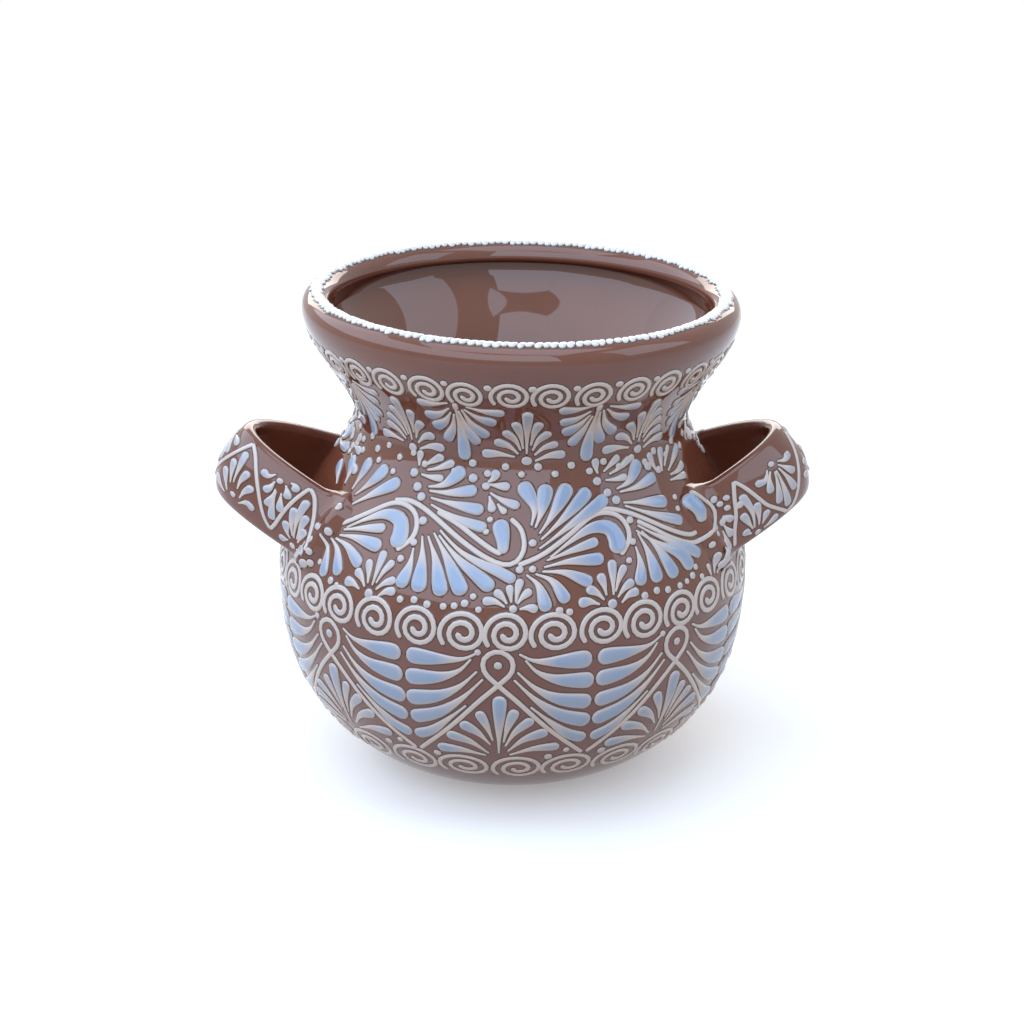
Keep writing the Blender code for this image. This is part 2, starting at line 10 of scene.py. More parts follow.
import bpy
import numpy as np
from mathutils.bvhtree import BVHTree
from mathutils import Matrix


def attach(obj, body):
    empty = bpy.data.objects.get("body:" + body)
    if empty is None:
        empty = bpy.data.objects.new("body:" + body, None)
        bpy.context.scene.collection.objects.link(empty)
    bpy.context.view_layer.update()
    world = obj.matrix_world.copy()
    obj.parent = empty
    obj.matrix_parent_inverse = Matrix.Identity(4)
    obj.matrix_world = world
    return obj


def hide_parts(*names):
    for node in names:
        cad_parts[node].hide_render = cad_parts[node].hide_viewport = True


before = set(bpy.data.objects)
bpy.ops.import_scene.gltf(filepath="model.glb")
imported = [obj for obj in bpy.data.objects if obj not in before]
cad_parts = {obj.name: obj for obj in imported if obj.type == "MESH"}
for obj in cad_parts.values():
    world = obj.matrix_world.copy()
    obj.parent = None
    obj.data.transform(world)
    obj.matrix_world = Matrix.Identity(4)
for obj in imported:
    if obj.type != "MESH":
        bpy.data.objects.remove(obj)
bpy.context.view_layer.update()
print("CAD nodes:", sorted(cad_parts))

# %% [markdown]
# ## The camera
# A photograph's viewpoint comes from its ellipses: the flatter the rim looks, the lower the camera.
# Here the rim, the belly and the foot agree on a camera 1.2 m in front and 0.57 m up. The small
# sideways shift puts the pot's axis where the picture has it.

# %% Camera at the photograph's viewpoint
FRAME_PIXELS = 1024
CAMERA_DISTANCE = 1.2015
CAMERA_HEIGHT = 0.5669
CAMERA_PITCH = math.radians(19.78)
FOCAL_PIXELS = 2393
AXIS_PIXEL = 512.5
SENSOR_WIDTH = 36.0

camera_data = bpy.data.cameras.new("photo camera")
camera_data.sensor_width = SENSOR_WIDTH
camera_data.lens = SENSOR_WIDTH * FOCAL_PIXELS / FRAME_PIXELS
camera_data.shift_x = (FRAME_PIXELS / 2 - AXIS_PIXEL) / FRAME_PIXELS
camera = bpy.data.objects.new("photo camera", camera_data)
camera.location = (0.0, -CAMERA_DISTANCE, CAMERA_HEIGHT)
camera.rotation_euler = (math.pi / 2 - CAMERA_PITCH, 0.0, 0.0)
bpy.context.collection.objects.link(camera)
bpy.context.scene.camera = camera
bpy.context.scene.view_settings.view_transform = "Standard"
print("lens", round(camera_data.lens, 1), "mm")

# %% [markdown]
# ## The outline of the pot
# A turned pot is one outline spun about an axis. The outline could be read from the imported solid,
# but that one is faceted, so the same curves are drawn again here with many more points. Every mark
# of slip is later laid on this outline too, by its distance along the clay, so skin and slip agree.

# %% Draw the outline from base to mouth
BASE_RADIUS = 0.0485
BELLY_RADIUS = 0.1241
BELLY_HEIGHT = 0.1115
BELLY_ROUNDNESS = 2.45
NECK_RADIUS = 0.0870
NECK_HEIGHT = 0.1931
FLARE_RADIUS = 0.1098
FLARE_HEIGHT = 0.2360
FLARE_SLOPE = 0.489
RIM_RADIUS = 0.1136
RIM_WIDEST = 0.0126
RIM_RISE = 0.0210
RIM_WIDTH = 0.0160
WALL = 0.0070
FLOOR = 0.0090
DRAIN_RADIUS = 0.0080
SHOULDER_PULL = 0.0828
WAIST_PULL_BELOW = 0.0442
WAIST_PULL_ABOVE = 0.0389
FLARE_PULL = 0.0452
STRETCH_STEPS = {"belly": 10, "shoulder": 8, "neck": 5, "rim_side": 2, "rim_top": 4}


def hermite(start, start_pull, end, end_pull, steps):
    """Points after start, up to end, on a curve that leaves and arrives along the two pulls."""
    t = np.linspace(0, 1, steps + 1)[1:, None]
    start, start_pull, end, end_pull = map(np.array, (start, start_pull, end, end_pull))
    return (
        (2 * t**3 - 3 * t**2 + 1) * start
        + (t**3 - 2 * t**2 + t) * start_pull
        + (3 * t**2 - 2 * t**3) * end
        + (t**3 - t**2) * end_pull
    )


def pot_outline(fine):
    """Outside of the pot as rows of radius and height, from the base over the rim to the mouth."""
    steps = {stretch: fine * count for stretch, count in STRETCH_STEPS.items()}
    power = 2.0 / BELLY_ROUNDNESS
    base_angle = math.acos((BASE_RADIUS / BELLY_RADIUS) ** (1.0 / power))
    drop = BELLY_HEIGHT / math.sin(base_angle) ** power
    angle = base_angle * (1.0 - np.linspace(0, 1, steps["belly"]))
    belly = np.stack(
        [BELLY_RADIUS * np.cos(angle) ** power, BELLY_HEIGHT - drop * np.sin(angle) ** power], axis=1
    )
    flare_way = np.array((FLARE_SLOPE, 1.0)) / math.hypot(FLARE_SLOPE, 1.0)
    waist = (NECK_RADIUS, NECK_HEIGHT)
    flare = (FLARE_RADIUS, FLARE_HEIGHT)
    widest = (RIM_RADIUS, FLARE_HEIGHT + RIM_WIDEST)
    pulls = (0, SHOULDER_PULL), (0, WAIST_PULL_BELOW)
    shoulder = hermite(belly[-1], pulls[0], waist, pulls[1], steps["shoulder"])
    neck = hermite(waist, (0, WAIST_PULL_ABOVE), flare, FLARE_PULL * flare_way, steps["neck"])
    rim_side = hermite(flare, RIM_WIDEST * flare_way, widest, (0, RIM_WIDEST), steps["rim_side"])
    turn = np.linspace(0, math.pi, steps["rim_top"])[1:, None]
    rim_top = np.hstack(
        [
            RIM_RADIUS - 0.5 * RIM_WIDTH * (1 - np.cos(turn)),
            widest[1] + (RIM_RISE - RIM_WIDEST) * np.sin(turn),
        ]
    )
    return np.vstack([belly, shoulder, neck, rim_side, rim_top])


OUTLINE_FINENESS = 24
outline = pot_outline(OUTLINE_FINENESS)
outline_steps = np.hypot(*np.diff(outline, axis=0).T)
outline_length = np.concatenate([[0.0], np.cumsum(outline_steps)])
outline_way = np.gradient(outline, outline_length, axis=0)
outline_normal = np.stack([outline_way[:, 1], -outline_way[:, 0]], axis=1)
crest_length = outline_length[np.argmax(outline[:, 1])]
print("outline", len(outline), "points, crest at", round(1000 * crest_length, 1), "mm along the clay")

# %% [markdown]
# ## A neck that leans
# The pot was thrown by hand: its neck stands a few millimetres to one side of the belly, and the rim
# sits slightly askew. Everything turned is therefore moved by one small function at the end, clay
# and slip alike, so nothing parts company.

# %% The lean of the neck
NECK_LEAN = 0.0046
RIM_TILT = 0.018


def lean_share(height):
    share = np.clip((height - BELLY_HEIGHT) / (NECK_HEIGHT - BELLY_HEIGHT), 0.0, 1.0)
    return share * share * (3.0 - 2.0 * share)


def settle(points):
    """Moves points of the upright pot to where the leaning pot has them."""
    share = lean_share(points[..., 2])
    moved = np.array(points, float)
    moved[..., 0] += NECK_LEAN * share
    moved[..., 2] -= RIM_TILT * share * points[..., 0]
    return moved


print("the rim leans", 1000 * NECK_LEAN, "mm to the right")

# %% [markdown]
# ## Clay, turned
# By hand this is the Spin tool: draw half the section as a chain of edges, spin it once round the
# axis, merge the seam and make the normals face out. The inside is the outline moved in by the
# wall, and the rolled rim overhangs it by a few millimetres, which leaves a shadow line there.


# %% Spin the pot
def deselect_everything():
    if bpy.context.object and bpy.context.object.mode != "OBJECT":
        bpy.ops.object.mode_set(mode="OBJECT")
    bpy.ops.object.select_all(action="DESELECT")


def picked_object(name, mesh):
    """Puts a mesh in the scene as the one object that is selected and active."""
    piece = bpy.data.objects.new(name, mesh)
    bpy.context.collection.objects.link(piece)
    deselect_everything()
    piece.select_set(True)
    bpy.context.view_layer.objects.active = piece
    return piece


def chain_object(name, section):
    """A closed chain of edges in the XZ plane, ready to be spun."""
    mesh = bpy.data.meshes.new(name)
    count = len(section)
    corners = [(radius, 0.0, height) for radius, height in section]
    mesh.from_pydata(corners, [(i, (i + 1) % count) for i in range(count)], [])
    return picked_object(name, mesh)


SPIN_STEPS = 240
SKIN_FINENESS = 7
RIM_UNDERCUT = 0.0032
LIP_SET_BACK = 0.0010
FLOOR_ROUNDING = 0.0040
EDGE_BREAK = 0.0010
MERGE_DISTANCE = 0.00002
skin = pot_outline(SKIN_FINENESS)
rim_points = SKIN_FINENESS * (STRETCH_STEPS["rim_side"] + STRETCH_STEPS["rim_top"]) - 1
wall_side = skin[: len(skin) - rim_points]
wall_way = np.gradient(wall_side, axis=0)
wall_way /= np.hypot(*wall_way.T)[:, None]
inside = wall_side - WALL * np.stack([wall_way[:, 1], -wall_way[:, 0]], axis=1)
inside = inside[inside[:, 1] > FLOOR][::-1]
mouth = skin[-1]
lip_under = np.array((inside[0, 0] + LIP_SET_BACK, mouth[1] - RIM_UNDERCUT))
under_rim = hermite(mouth, (0, -RIM_UNDERCUT), lip_under, 0.5 * (lip_under - mouth), 8)
drain_edge = DRAIN_RADIUS + EDGE_BREAK
floor_edge = np.array([(inside[-1, 0] - FLOOR_ROUNDING, FLOOR), (drain_edge, FLOOR)])
drain = np.array([(DRAIN_RADIUS, FLOOR - EDGE_BREAK), (DRAIN_RADIUS, EDGE_BREAK), (drain_edge, 0.0)])
pot_section = np.vstack([skin, under_rim, inside, floor_edge, drain])

pot = chain_object("glazed_pot", pot_section)
bpy.ops.object.mode_set(mode="EDIT")
bpy.ops.mesh.select_all(action="SELECT")
bpy.ops.mesh.spin(steps=SPIN_STEPS, angle=2 * math.pi, center=(0, 0, 0), axis=(0, 0, 1))
bpy.ops.mesh.select_all(action="SELECT")
bpy.ops.mesh.remove_doubles(threshold=MERGE_DISTANCE)
bpy.ops.mesh.normals_make_consistent(inside=False)
bpy.ops.object.mode_set(mode="OBJECT")
upright = np.zeros(3 * len(pot.data.vertices))
pot.data.vertices.foreach_get("co", upright)
pot.data.vertices.foreach_set("co", settle(upright.reshape(-1, 3)).reshape(-1))
bpy.ops.object.shade_smooth_by_angle(angle=math.radians(50))
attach(pot, "root")
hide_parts("pot_body", "rim_roll")
print("pot", len(pot.data.polygons), "faces")

# %% [markdown]
# ## Strap handles
# Each handle is a flat strap of clay bent to a U. Its two edges are parabolas in plan, the upper one
# shorter, and the strap bulges between them. Near the shoulder the potter smears the clay out, so
# the strap thickens there along a round fillet, and its ends stop inside the pot's wall. By hand a
# curve with a bevel would give an even strap; this one changes all along, so its rings are worked
# out from a few sizes and bridged.

# %% The strap's middle surface
HANDLE_SPAN = 0.0460
STRAP_THICKNESS = 0.0076
STRAP_BULGE = 0.0039
SMEAR_RADIUS = 0.0080
ROOT_DEPTH = 0.0045
ROOT_OVERRUN = 0.0100
LOW_EDGE = {"root": 0.1113, "reach": 0.0424, "height": 0.1319, "rise": 0.0202}
TOP_EDGE = {"root": 0.0966, "reach": 0.0422, "height": 0.1602, "rise": 0.0203}


def strap_middle(side, along, across):
    """Points on the middle of the strap: along is -1 to 1 round the loop, across 0 to 1 upwards."""
    reach = 1.0 - along**2
    low_x = LOW_EDGE["root"] + LOW_EDGE["reach"] * reach
    top_x = TOP_EDGE["root"] + TOP_EDGE["reach"] * reach
    low_z = LOW_EDGE["height"] + LOW_EDGE["rise"] * reach
    top_z = TOP_EDGE["height"] + TOP_EDGE["rise"] * reach
    x = low_x + (top_x - low_x) * across + STRAP_BULGE * 4.0 * across * (1.0 - across)
    return np.stack([side * x, HANDLE_SPAN * along, low_z + (top_z - low_z) * across], axis=-1)


def unit(vectors):
    return vectors / np.linalg.norm(vectors, axis=-1, keepdims=True)


def strap_frame(side, along, across):
    """Outward normal and upward direction of the strap."""
    nudge = 0.001
    run = strap_middle(side, along + nudge, across) - strap_middle(side, along - nudge, across)
    rise = strap_middle(side, along, across + nudge) - strap_middle(side, along, across - nudge)
    return unit(side * np.cross(run, rise)), unit(rise)


def depth_outside_pot(points):
    """How far points lie outside the pot's wall."""
    wall_top = np.argmax(outline[:, 1])
    heights = outline[:wall_top, 1]
    radius = np.interp(points[..., 2], heights, outline[:wall_top, 0])
    slope = np.interp(points[..., 2], heights, outline_way[:wall_top, 1])
    sideways = points[..., 0] - NECK_LEAN * lean_share(points[..., 2])
    return (np.hypot(sideways, points[..., 1]) - radius) * slope


def kept_in_wall(points):
    """Draws the strap's hidden ends back, so that they end inside the wall and not in the pot."""
    for _ in range(6):
        outward = points * (1.0, 1.0, 0.0)
        outward[..., 0] -= NECK_LEAN * lean_share(points[..., 2])
        too_deep = np.clip(-ROOT_DEPTH - depth_outside_pot(points), 0.0, None)
        points = points + too_deep[..., None] * unit(outward)
    return points


def smear_of(gap):
    """Thickness added by the smeared fillet at a distance from the wall."""
    gap = np.clip(gap, 0.0, SMEAR_RADIUS)
    return SMEAR_RADIUS - np.sqrt(SMEAR_RADIUS**2 - (SMEAR_RADIUS - gap) ** 2)


strap_tip = 1000 * strap_middle(1, np.zeros(1), np.full(1, 0.5))[0]
print("the right strap reaches", round(strap_tip[0]), "mm out,", round(strap_tip[2]), "mm up")


# %% Make both handles
STRAP_ROWS = 64
FACE_POINTS = 12
EDGE_POINTS = 5
UNDERSIDE_FROM = 0.2
UNDERSIDE_SPAN = 0.8
UNDERSIDE_LOSS = 0.85


def strap_ring():
    """Where each point of the strap's section lies: across, and its turn from the outer face."""
    rows = np.linspace(0, 1, FACE_POINTS)
    arc = np.linspace(0, math.pi, EDGE_POINTS + 2)[1:-1]
    across = np.concatenate([rows, np.ones(EDGE_POINTS), rows[::-1], np.zeros(EDGE_POINTS)])
    turn = np.concatenate([0 * rows, arc, math.pi + 0 * rows, math.pi + arc])
    return across, turn


def make_handle(name, side, node):
    across, turn = strap_ring()
    end = 1.0 + ROOT_OVERRUN / HANDLE_SPAN
    spread = np.linspace(-1, 1, STRAP_ROWS)
    along = end * np.sin(spread * math.pi / 2)
    along, across = np.meshgrid(along, across, indexing="ij")
    turn = np.broadcast_to(turn, along.shape)
    outward, upward = strap_frame(side, along, across)
    way = np.cos(turn)[..., None] * outward + np.sin(turn)[..., None] * upward
    points = strap_middle(side, along, across) + 0.5 * STRAP_THICKNESS * way
    low_edge = np.clip(-way[..., 2] - UNDERSIDE_FROM, 0.0, UNDERSIDE_SPAN) / UNDERSIDE_SPAN
    smear = smear_of(depth_outside_pot(points)) * (1.0 - UNDERSIDE_LOSS * low_edge)
    points = kept_in_wall(points + smear[..., None] * way)
    rows, ring = along.shape
    here = np.arange(rows * ring).reshape(rows, ring)
    after = np.roll(here, -1, axis=1)
    quads = np.stack([here[:-1], after[:-1], after[1:], here[1:]], axis=-1).reshape(-1, 4)
    mesh = bpy.data.meshes.new(name)
    caps = [list(here[0]), list(here[-1])]
    mesh.from_pydata(points.reshape(-1, 3).tolist(), [], quads.tolist() + caps)
    handle = picked_object(name, mesh)
    bpy.ops.object.mode_set(mode="EDIT")
    bpy.ops.mesh.select_all(action="SELECT")
    bpy.ops.mesh.normals_make_consistent(inside=False)
    bpy.ops.object.mode_set(mode="OBJECT")
    bpy.ops.object.shade_smooth_by_angle(angle=math.radians(60))
    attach(handle, "root")
    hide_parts(node)
    return handle


left_handle = make_handle("strap_handle_left", -1, "handle_left")
right_handle = make_handle("strap_handle_right", 1, "handle_right")
print("handles", len(left_handle.data.polygons), "faces each")

# %% [markdown]
# ## Marks of slip
# Slip is squeezed from a bulb: a mark starts as a fine line and swells to a drop, or runs on as a
# cord. A curve with a bevel could sweep it, but a mark swells, lies on a doubly curved wall and has
# a flat, sunk underside. So every mark is a short tube of rings along its own spine, laid on the
# wall by angle and distance along the clay. Round each mark the glaze pools in a thin dark film.

# %% One mark, as rings round a spine
MARK_RING = 9
DOME_POWER = 0.50
FULL_LIFT = 1.30
EDGE_SUNK = -0.08
MIDDLE_SUNK = -0.35
POOL_REACH = 0.85
POOL_SHOULDER = 0.55
POOL_TIP = {"outer": 0.30, "inner": 0.15}
POOL_LIFT = np.array((-0.10, 0.04, 0.06, 0.04, -0.10, -0.40))
POOL_SHADE = np.array((0.4, 1.0, 1.0, 1.0, 0.4, 0.4))
rng = np.random.default_rng(7)


class Trail:
    """Collects marks in millimetres and lays them on a surface as one piece."""

    def __init__(self, surface):
        self.surface = surface
        self.points = []
        self.faces = []
        self.values = []
        self.count = 0

    def tube(self, centre, spine, normal, across, lift, slip, depth):
        """Adds rings: across and lift are rows by ring, in millimetres from the spine."""
        flat = spine[:, None, :] + across[..., None] * normal[:, None, :]
        self.points.append(self.surface(centre, flat[..., 0], flat[..., 1], lift).reshape(-1, 3))
        rows, ring = across.shape
        here = self.count + np.arange(rows * ring).reshape(rows, ring)
        after = np.roll(here, -1, axis=1)
        quads = np.stack([here[:-1], here[1:], after[1:], after[:-1]], axis=-1).reshape(-1, 4)
        self.faces += quads.tolist()
        self.faces += [list(here[0]), list(here[-1][::-1])]
        self.values.append(np.stack([np.full(rows * ring, slip), depth.reshape(-1)], axis=1))
        self.count += rows * ring

    def mark(self, centre, spine, half_width, height):
        """A slip mark and its film of pooled glaze along a spine in local millimetres."""
        way = np.gradient(spine, axis=0)
        way /= np.maximum(np.hypot(*way.T), 1e-9)[:, None]
        normal = np.stack([-way[:, 1], way[:, 0]], axis=1)
        turn = np.linspace(0, math.pi, MARK_RING)
        across = np.concatenate([np.cos(turn), [0.0]])
        dome = np.concatenate([np.sin(turn) ** DOME_POWER, [0.0]])
        sunk = np.concatenate([np.full(MARK_RING, EDGE_SUNK), [MIDDLE_SUNK]])
        widths = half_width[:, None] * across
        lifts = height[:, None] * dome + sunk
        depth = np.broadcast_to(dome, widths.shape) * np.clip(height[:, None] / FULL_LIFT, 0, 1)
        self.tube(centre, spine, normal, widths, lifts, 1.0, depth)
        reach = spine.copy()
        reach[0] -= POOL_REACH * way[0]
        reach[-1] += POOL_REACH * way[-1]
        outer = half_width + POOL_REACH
        inner = half_width + POOL_SHOULDER
        outer[[0, -1]] = POOL_TIP["outer"]
        inner[[0, -1]] = POOL_TIP["inner"]
        film = np.stack([-outer, -inner, 0 * inner, inner, outer, 0 * inner], axis=1)
        lift = np.broadcast_to(POOL_LIFT, film.shape)
        self.tube(centre, reach, normal, film, lift, 0.0, np.broadcast_to(POOL_SHADE, film.shape))

    def piece(self, name, *nodes):
        """Makes the piece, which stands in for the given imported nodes."""
        mesh = bpy.data.meshes.new(name)
        mesh.from_pydata(np.vstack(self.points).tolist(), [], self.faces)
        values = np.vstack(self.values)
        for column, title in enumerate(("slip", "depth")):
            layer = mesh.attributes.new(title, "FLOAT", "POINT")
            layer.data.foreach_set("value", values[:, column].astype(np.float32))
        mesh.shade_smooth()
        made = bpy.data.objects.new(name, mesh)
        bpy.context.collection.objects.link(made)
        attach(made, "root")
        if nodes:
            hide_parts(*nodes)
        print(name, len(mesh.polygons), "faces")
        return made


def numbered(title, count):
    return [f"{title}_{index}" for index in range(1, count + 1)]


print("a mark has", MARK_RING + 1, "points to a ring, its film", len(POOL_LIFT))

# %% [markdown]
# ## Laying marks on the clay
# A mark is drawn flat, in millimetres round its own centre, and wrapped on the pot by angle and by
# distance along the outline. Near a handle a ray is cast at the clay instead, so that a mark which
# runs from the pot up the strap follows whichever lies outermost. By hand a Shrinkwrap modifier
# does this; the ray keeps the height of each point above the clay as well.

# %% Surfaces that marks are laid on
clay_corners = []
clay_faces = []
for piece in (pot, left_handle, right_handle):
    shift = len(clay_corners)
    clay_corners += [tuple(vertex.co) for vertex in piece.data.vertices]
    clay_faces += [[shift + corner for corner in face.vertices] for face in piece.data.polygons]
clay_tree = BVHTree.FromPolygons(clay_corners, clay_faces)
DRAPE_REACH = 0.022
HANDLE_ZONE = {"low": 0.112, "high": 0.200, "side": 0.075}


def wall_radius(along):
    """The pot's radius, in metres, at millimetres along the clay."""
    return np.interp(along / 1000.0, outline_length, outline[:, 0])


def drape(base, outward, lift):
    """Lays points on whatever clay is outermost under them, pot or handle."""
    flat_base = base.reshape(-1, 3)
    flat_out = np.broadcast_to(outward, base.shape).reshape(-1, 3)
    flat_lift = np.broadcast_to(lift, base.shape[:-1]).reshape(-1)
    laid = []
    for place, way, rise in zip(flat_base, flat_out, flat_lift):
        hit, normal, _, _ = clay_tree.ray_cast(place + DRAPE_REACH * way, -way, 2 * DRAPE_REACH)
        if hit is not None:
            place, way = np.array(hit), np.array(normal)
        laid.append(place + rise / 1000.0 * way)
    return np.array(laid).reshape(base.shape)


def on_pot(centre, x, y, lift):
    """Local millimetres round a centre given as degrees and millimetres along the clay."""
    along = (centre[1] + y) / 1000.0
    angle = math.radians(centre[0]) + x / 1000.0 / wall_radius(centre[1])
    out_r = np.interp(along, outline_length, outline_normal[:, 0])
    out_z = np.interp(along, outline_length, outline_normal[:, 1])
    outward = np.stack([out_r * np.sin(angle), -out_r * np.cos(angle), out_z], axis=-1)
    radius = np.interp(along, outline_length, outline[:, 0])
    height = np.interp(along, outline_length, outline[:, 1])
    base = np.stack([radius * np.sin(angle), -radius * np.cos(angle), height], axis=-1)
    level = HANDLE_ZONE["low"] < height.mean() < HANDLE_ZONE["high"]
    if level and abs(base[..., 0].mean()) > HANDLE_ZONE["side"]:
        return drape(settle(base), outward, lift)
    return settle(base + lift[..., None] / 1000.0 * outward)


def local(centre, points):
    """Degrees and millimetres to local millimetres round a centre."""
    points = np.asarray(points, float)
    sideways = np.radians(points[:, 0] - centre[0]) * 1000.0 * wall_radius(centre[1])
    return np.stack([sideways, points[:, 1] - centre[1]], axis=1)


print("marks can lie on", len(clay_faces), "faces of clay")

# %% [markdown]
# ## Drops, cords and dots
# The whole pattern has three kinds of mark: a drop that swells from a fine tail, a cord of even
# width and a round dot. The potter's hand is never quite even, so sizes and places get a small
# random wobble. Its generator has a fixed seed, and the pot comes out the same each time.

# %% Kinds of mark
LEAST_HALF_WIDTH = 0.02
FULLNESS = 1.1
SWELL_POWER = 1.2
LIFT_START = 0.36
LIFT_PER_WIDTH = 0.28
CURVE_STEPS = 16


def rounded(share):
    """Half widths of a round end, where share goes from 0 at the tip to 1."""
    return np.sqrt(np.maximum(1 - (1 - share) ** 2, 0))


def even_rows(count):
    """Rows along a mark, closer together at its two ends."""
    return 0.5 - 0.5 * np.cos(np.linspace(0, math.pi, count))


def smooth_path(points, t):
    """A curve through hand-set points, read at shares t of its length."""
    points = np.asarray(points, float)
    if len(points) == 2:
        return points[0] + (points[1] - points[0]) * t[:, None]
    padded = np.vstack([2 * points[0] - points[1], points, 2 * points[-1] - points[-2]])
    dense = []
    for a, b, c, d in zip(padded, padded[1:], padded[2:], padded[3:]):
        u = np.linspace(0, 1, CURVE_STEPS, endpoint=False)[:, None]
        square = 2 * a - 5 * b + 4 * c - d
        cube = 3 * b - a - 3 * c + d
        dense.append(0.5 * (2 * b + (c - a) * u + square * u**2 + cube * u**3))
    dense = np.vstack(dense + [points[-1:]])
    run = np.concatenate([[0.0], np.cumsum(np.hypot(*np.diff(dense, axis=0).T))])
    return np.stack([np.interp(t * run[-1], run, dense[:, axis]) for axis in (0, 1)], axis=1)


def lift_of(width):
    return np.minimum(LIFT_START + LIFT_PER_WIDTH * width, FULL_LIFT)


def drop_mark(trail, centre, path, width, tail=0.62, rows=15):
    """A mark that starts as a fine line and swells to a round drop at its end."""
    t = even_rows(rows)
    spine = smooth_path(path, t)
    length = np.hypot(*np.diff(spine, axis=0).T).sum()
    round_end = min(0.9, width / length)
    body = np.clip(t / (1 - round_end), 0, 1)
    swell = tail + (FULLNESS * width - tail) * (body * body * (3 - 2 * body)) ** SWELL_POWER
    end = np.clip((1 - t) / round_end, 0, 1)
    start = np.clip(t * length / tail, 0, 1)
    shape = rounded(end) * rounded(start)
    half = np.maximum(swell * shape, LEAST_HALF_WIDTH)
    trail.mark(centre, spine, half, lift_of(swell) * np.sqrt(shape))


def cord_mark(trail, centre, path, width, rows=24, end_swell=1.0):
    """A line of slip of even width with round ends."""
    t = even_rows(rows)
    spine = smooth_path(path, t)
    length = np.hypot(*np.diff(spine, axis=0).T).sum()
    end = np.clip((1 - t) * length / width, 0, 1)
    start = np.clip(t * length / width, 0, 1)
    shape = rounded(end) * rounded(start)
    swell = width * (1 + (end_swell - 1) * t**6)
    half = np.maximum(swell * shape, LEAST_HALF_WIDTH)
    trail.mark(centre, spine, half, lift_of(swell) * np.sqrt(shape))


def dot_mark(trail, centre, size, squash=1.0):
    """A round dot of slip."""
    t = even_rows(9)
    reach = size * squash
    spine = np.stack([reach * (2 * t - 1), 0 * t], axis=1)
    shape = np.sqrt(np.maximum(1 - (2 * t - 1) ** 2, 0))
    half = np.maximum(size * shape, LEAST_HALF_WIDTH)
    trail.mark(centre, spine, half, lift_of(size) * np.sqrt(shape))


def wobble(amount):
    return amount * rng.uniform(-1, 1)


def petal(trail, tail, tip, width, bend=0.0):
    """A drop from tail to tip, both in degrees and millimetres; bend bows it to the left."""
    centre = (0.5 * (tail[0] + tip[0]), 0.5 * (tail[1] + tip[1]))
    ends = local(centre, [tail, tip])
    across = np.array((-(ends[1] - ends[0])[1], (ends[1] - ends[0])[0]))
    middle = 0.5 * (ends[0] + ends[1]) + bend * across
    drop_mark(trail, centre, [ends[0], middle, ends[1]], width * (1 + wobble(0.06)))


def dot(trail, place, size, squash=1.0):
    dot_mark(trail, place, size * (1 + wobble(0.08)), squash)


def cord(trail, points, width, rows=24):
    middle = points[len(points) // 2]
    cord_mark(trail, middle, local(middle, points), width, rows)


def turned(points, angle):
    return [(place + angle, along) for place, along in points]


print("a full drop or cord stands", FULL_LIFT, "mm high")


# %% [markdown]
# ## Scroll bands
# Three rings of scrolls go round the neck, the belly and the foot. Each scroll is one line: it
# starts low on the left, climbs over the top and winds in for two turns. One function draws it, and
# each ring has its own count and size, with a dot in the notch between neighbours on the neck.

# %% Neck, belly and foot scrolls
SCROLL_TURN = math.radians(765)
SCROLL_START = math.radians(218)
SCROLL_OUTER = 1.16
SCROLL_SHRINK = 0.97
TURN_POWER = 0.86
SHRINK_POWER = 0.90
NOTCH_DOT = {"size": 1.8, "squash": 1.1}


def scroll(trail, centre, wide, tall, line):
    t = np.linspace(0, 1, 60)
    turn = SCROLL_START - SCROLL_TURN * t**TURN_POWER
    shrink = SCROLL_OUTER - SCROLL_SHRINK * t**SHRINK_POWER
    path = np.stack([wide * shrink * np.cos(turn), tall * shrink * np.sin(turn)], axis=1)
    path[:, 0] *= 1 + wobble(0.05)
    path[:, 1] *= 1 + wobble(0.05)
    cord_mark(trail, centre, path, line, rows=46, end_swell=1.25)


def scroll_band(name, count, first, along, wide, tall, line, dot_rise=None):
    trail = Trail(on_pot)
    for index in range(count):
        angle = first + 360.0 * index / count
        scroll(trail, (angle + wobble(0.4), along + wobble(0.5)), wide, tall, line)
        if dot_rise:
            dot(trail, (angle + 180.0 / count, along + dot_rise + wobble(0.4)), **NOTCH_DOT)
    return trail.piece(name)


neck_scrolls = scroll_band(
    "neck_scrolls", count=32, first=-3.0, along=281.0, wide=8.4, tall=8.2, line=1.15, dot_rise=6.5
)
belly_scrolls = scroll_band(
    "belly_scrolls", count=33, first=-0.8, along=151.5, wide=10.3, tall=9.4, line=1.32
)
foot_scrolls = scroll_band(
    "foot_scrolls", count=24, first=1.3, along=65.0, wide=12.0, tall=10.0, line=1.15
)

# %% [markdown]
# ## Palmettes on the neck
# Under the scrolls nine hanging palmettes alternate with nine standing ones, and dots fill the line
# where the neck meets the shoulder. Petals are given by tail and tip round their hub.

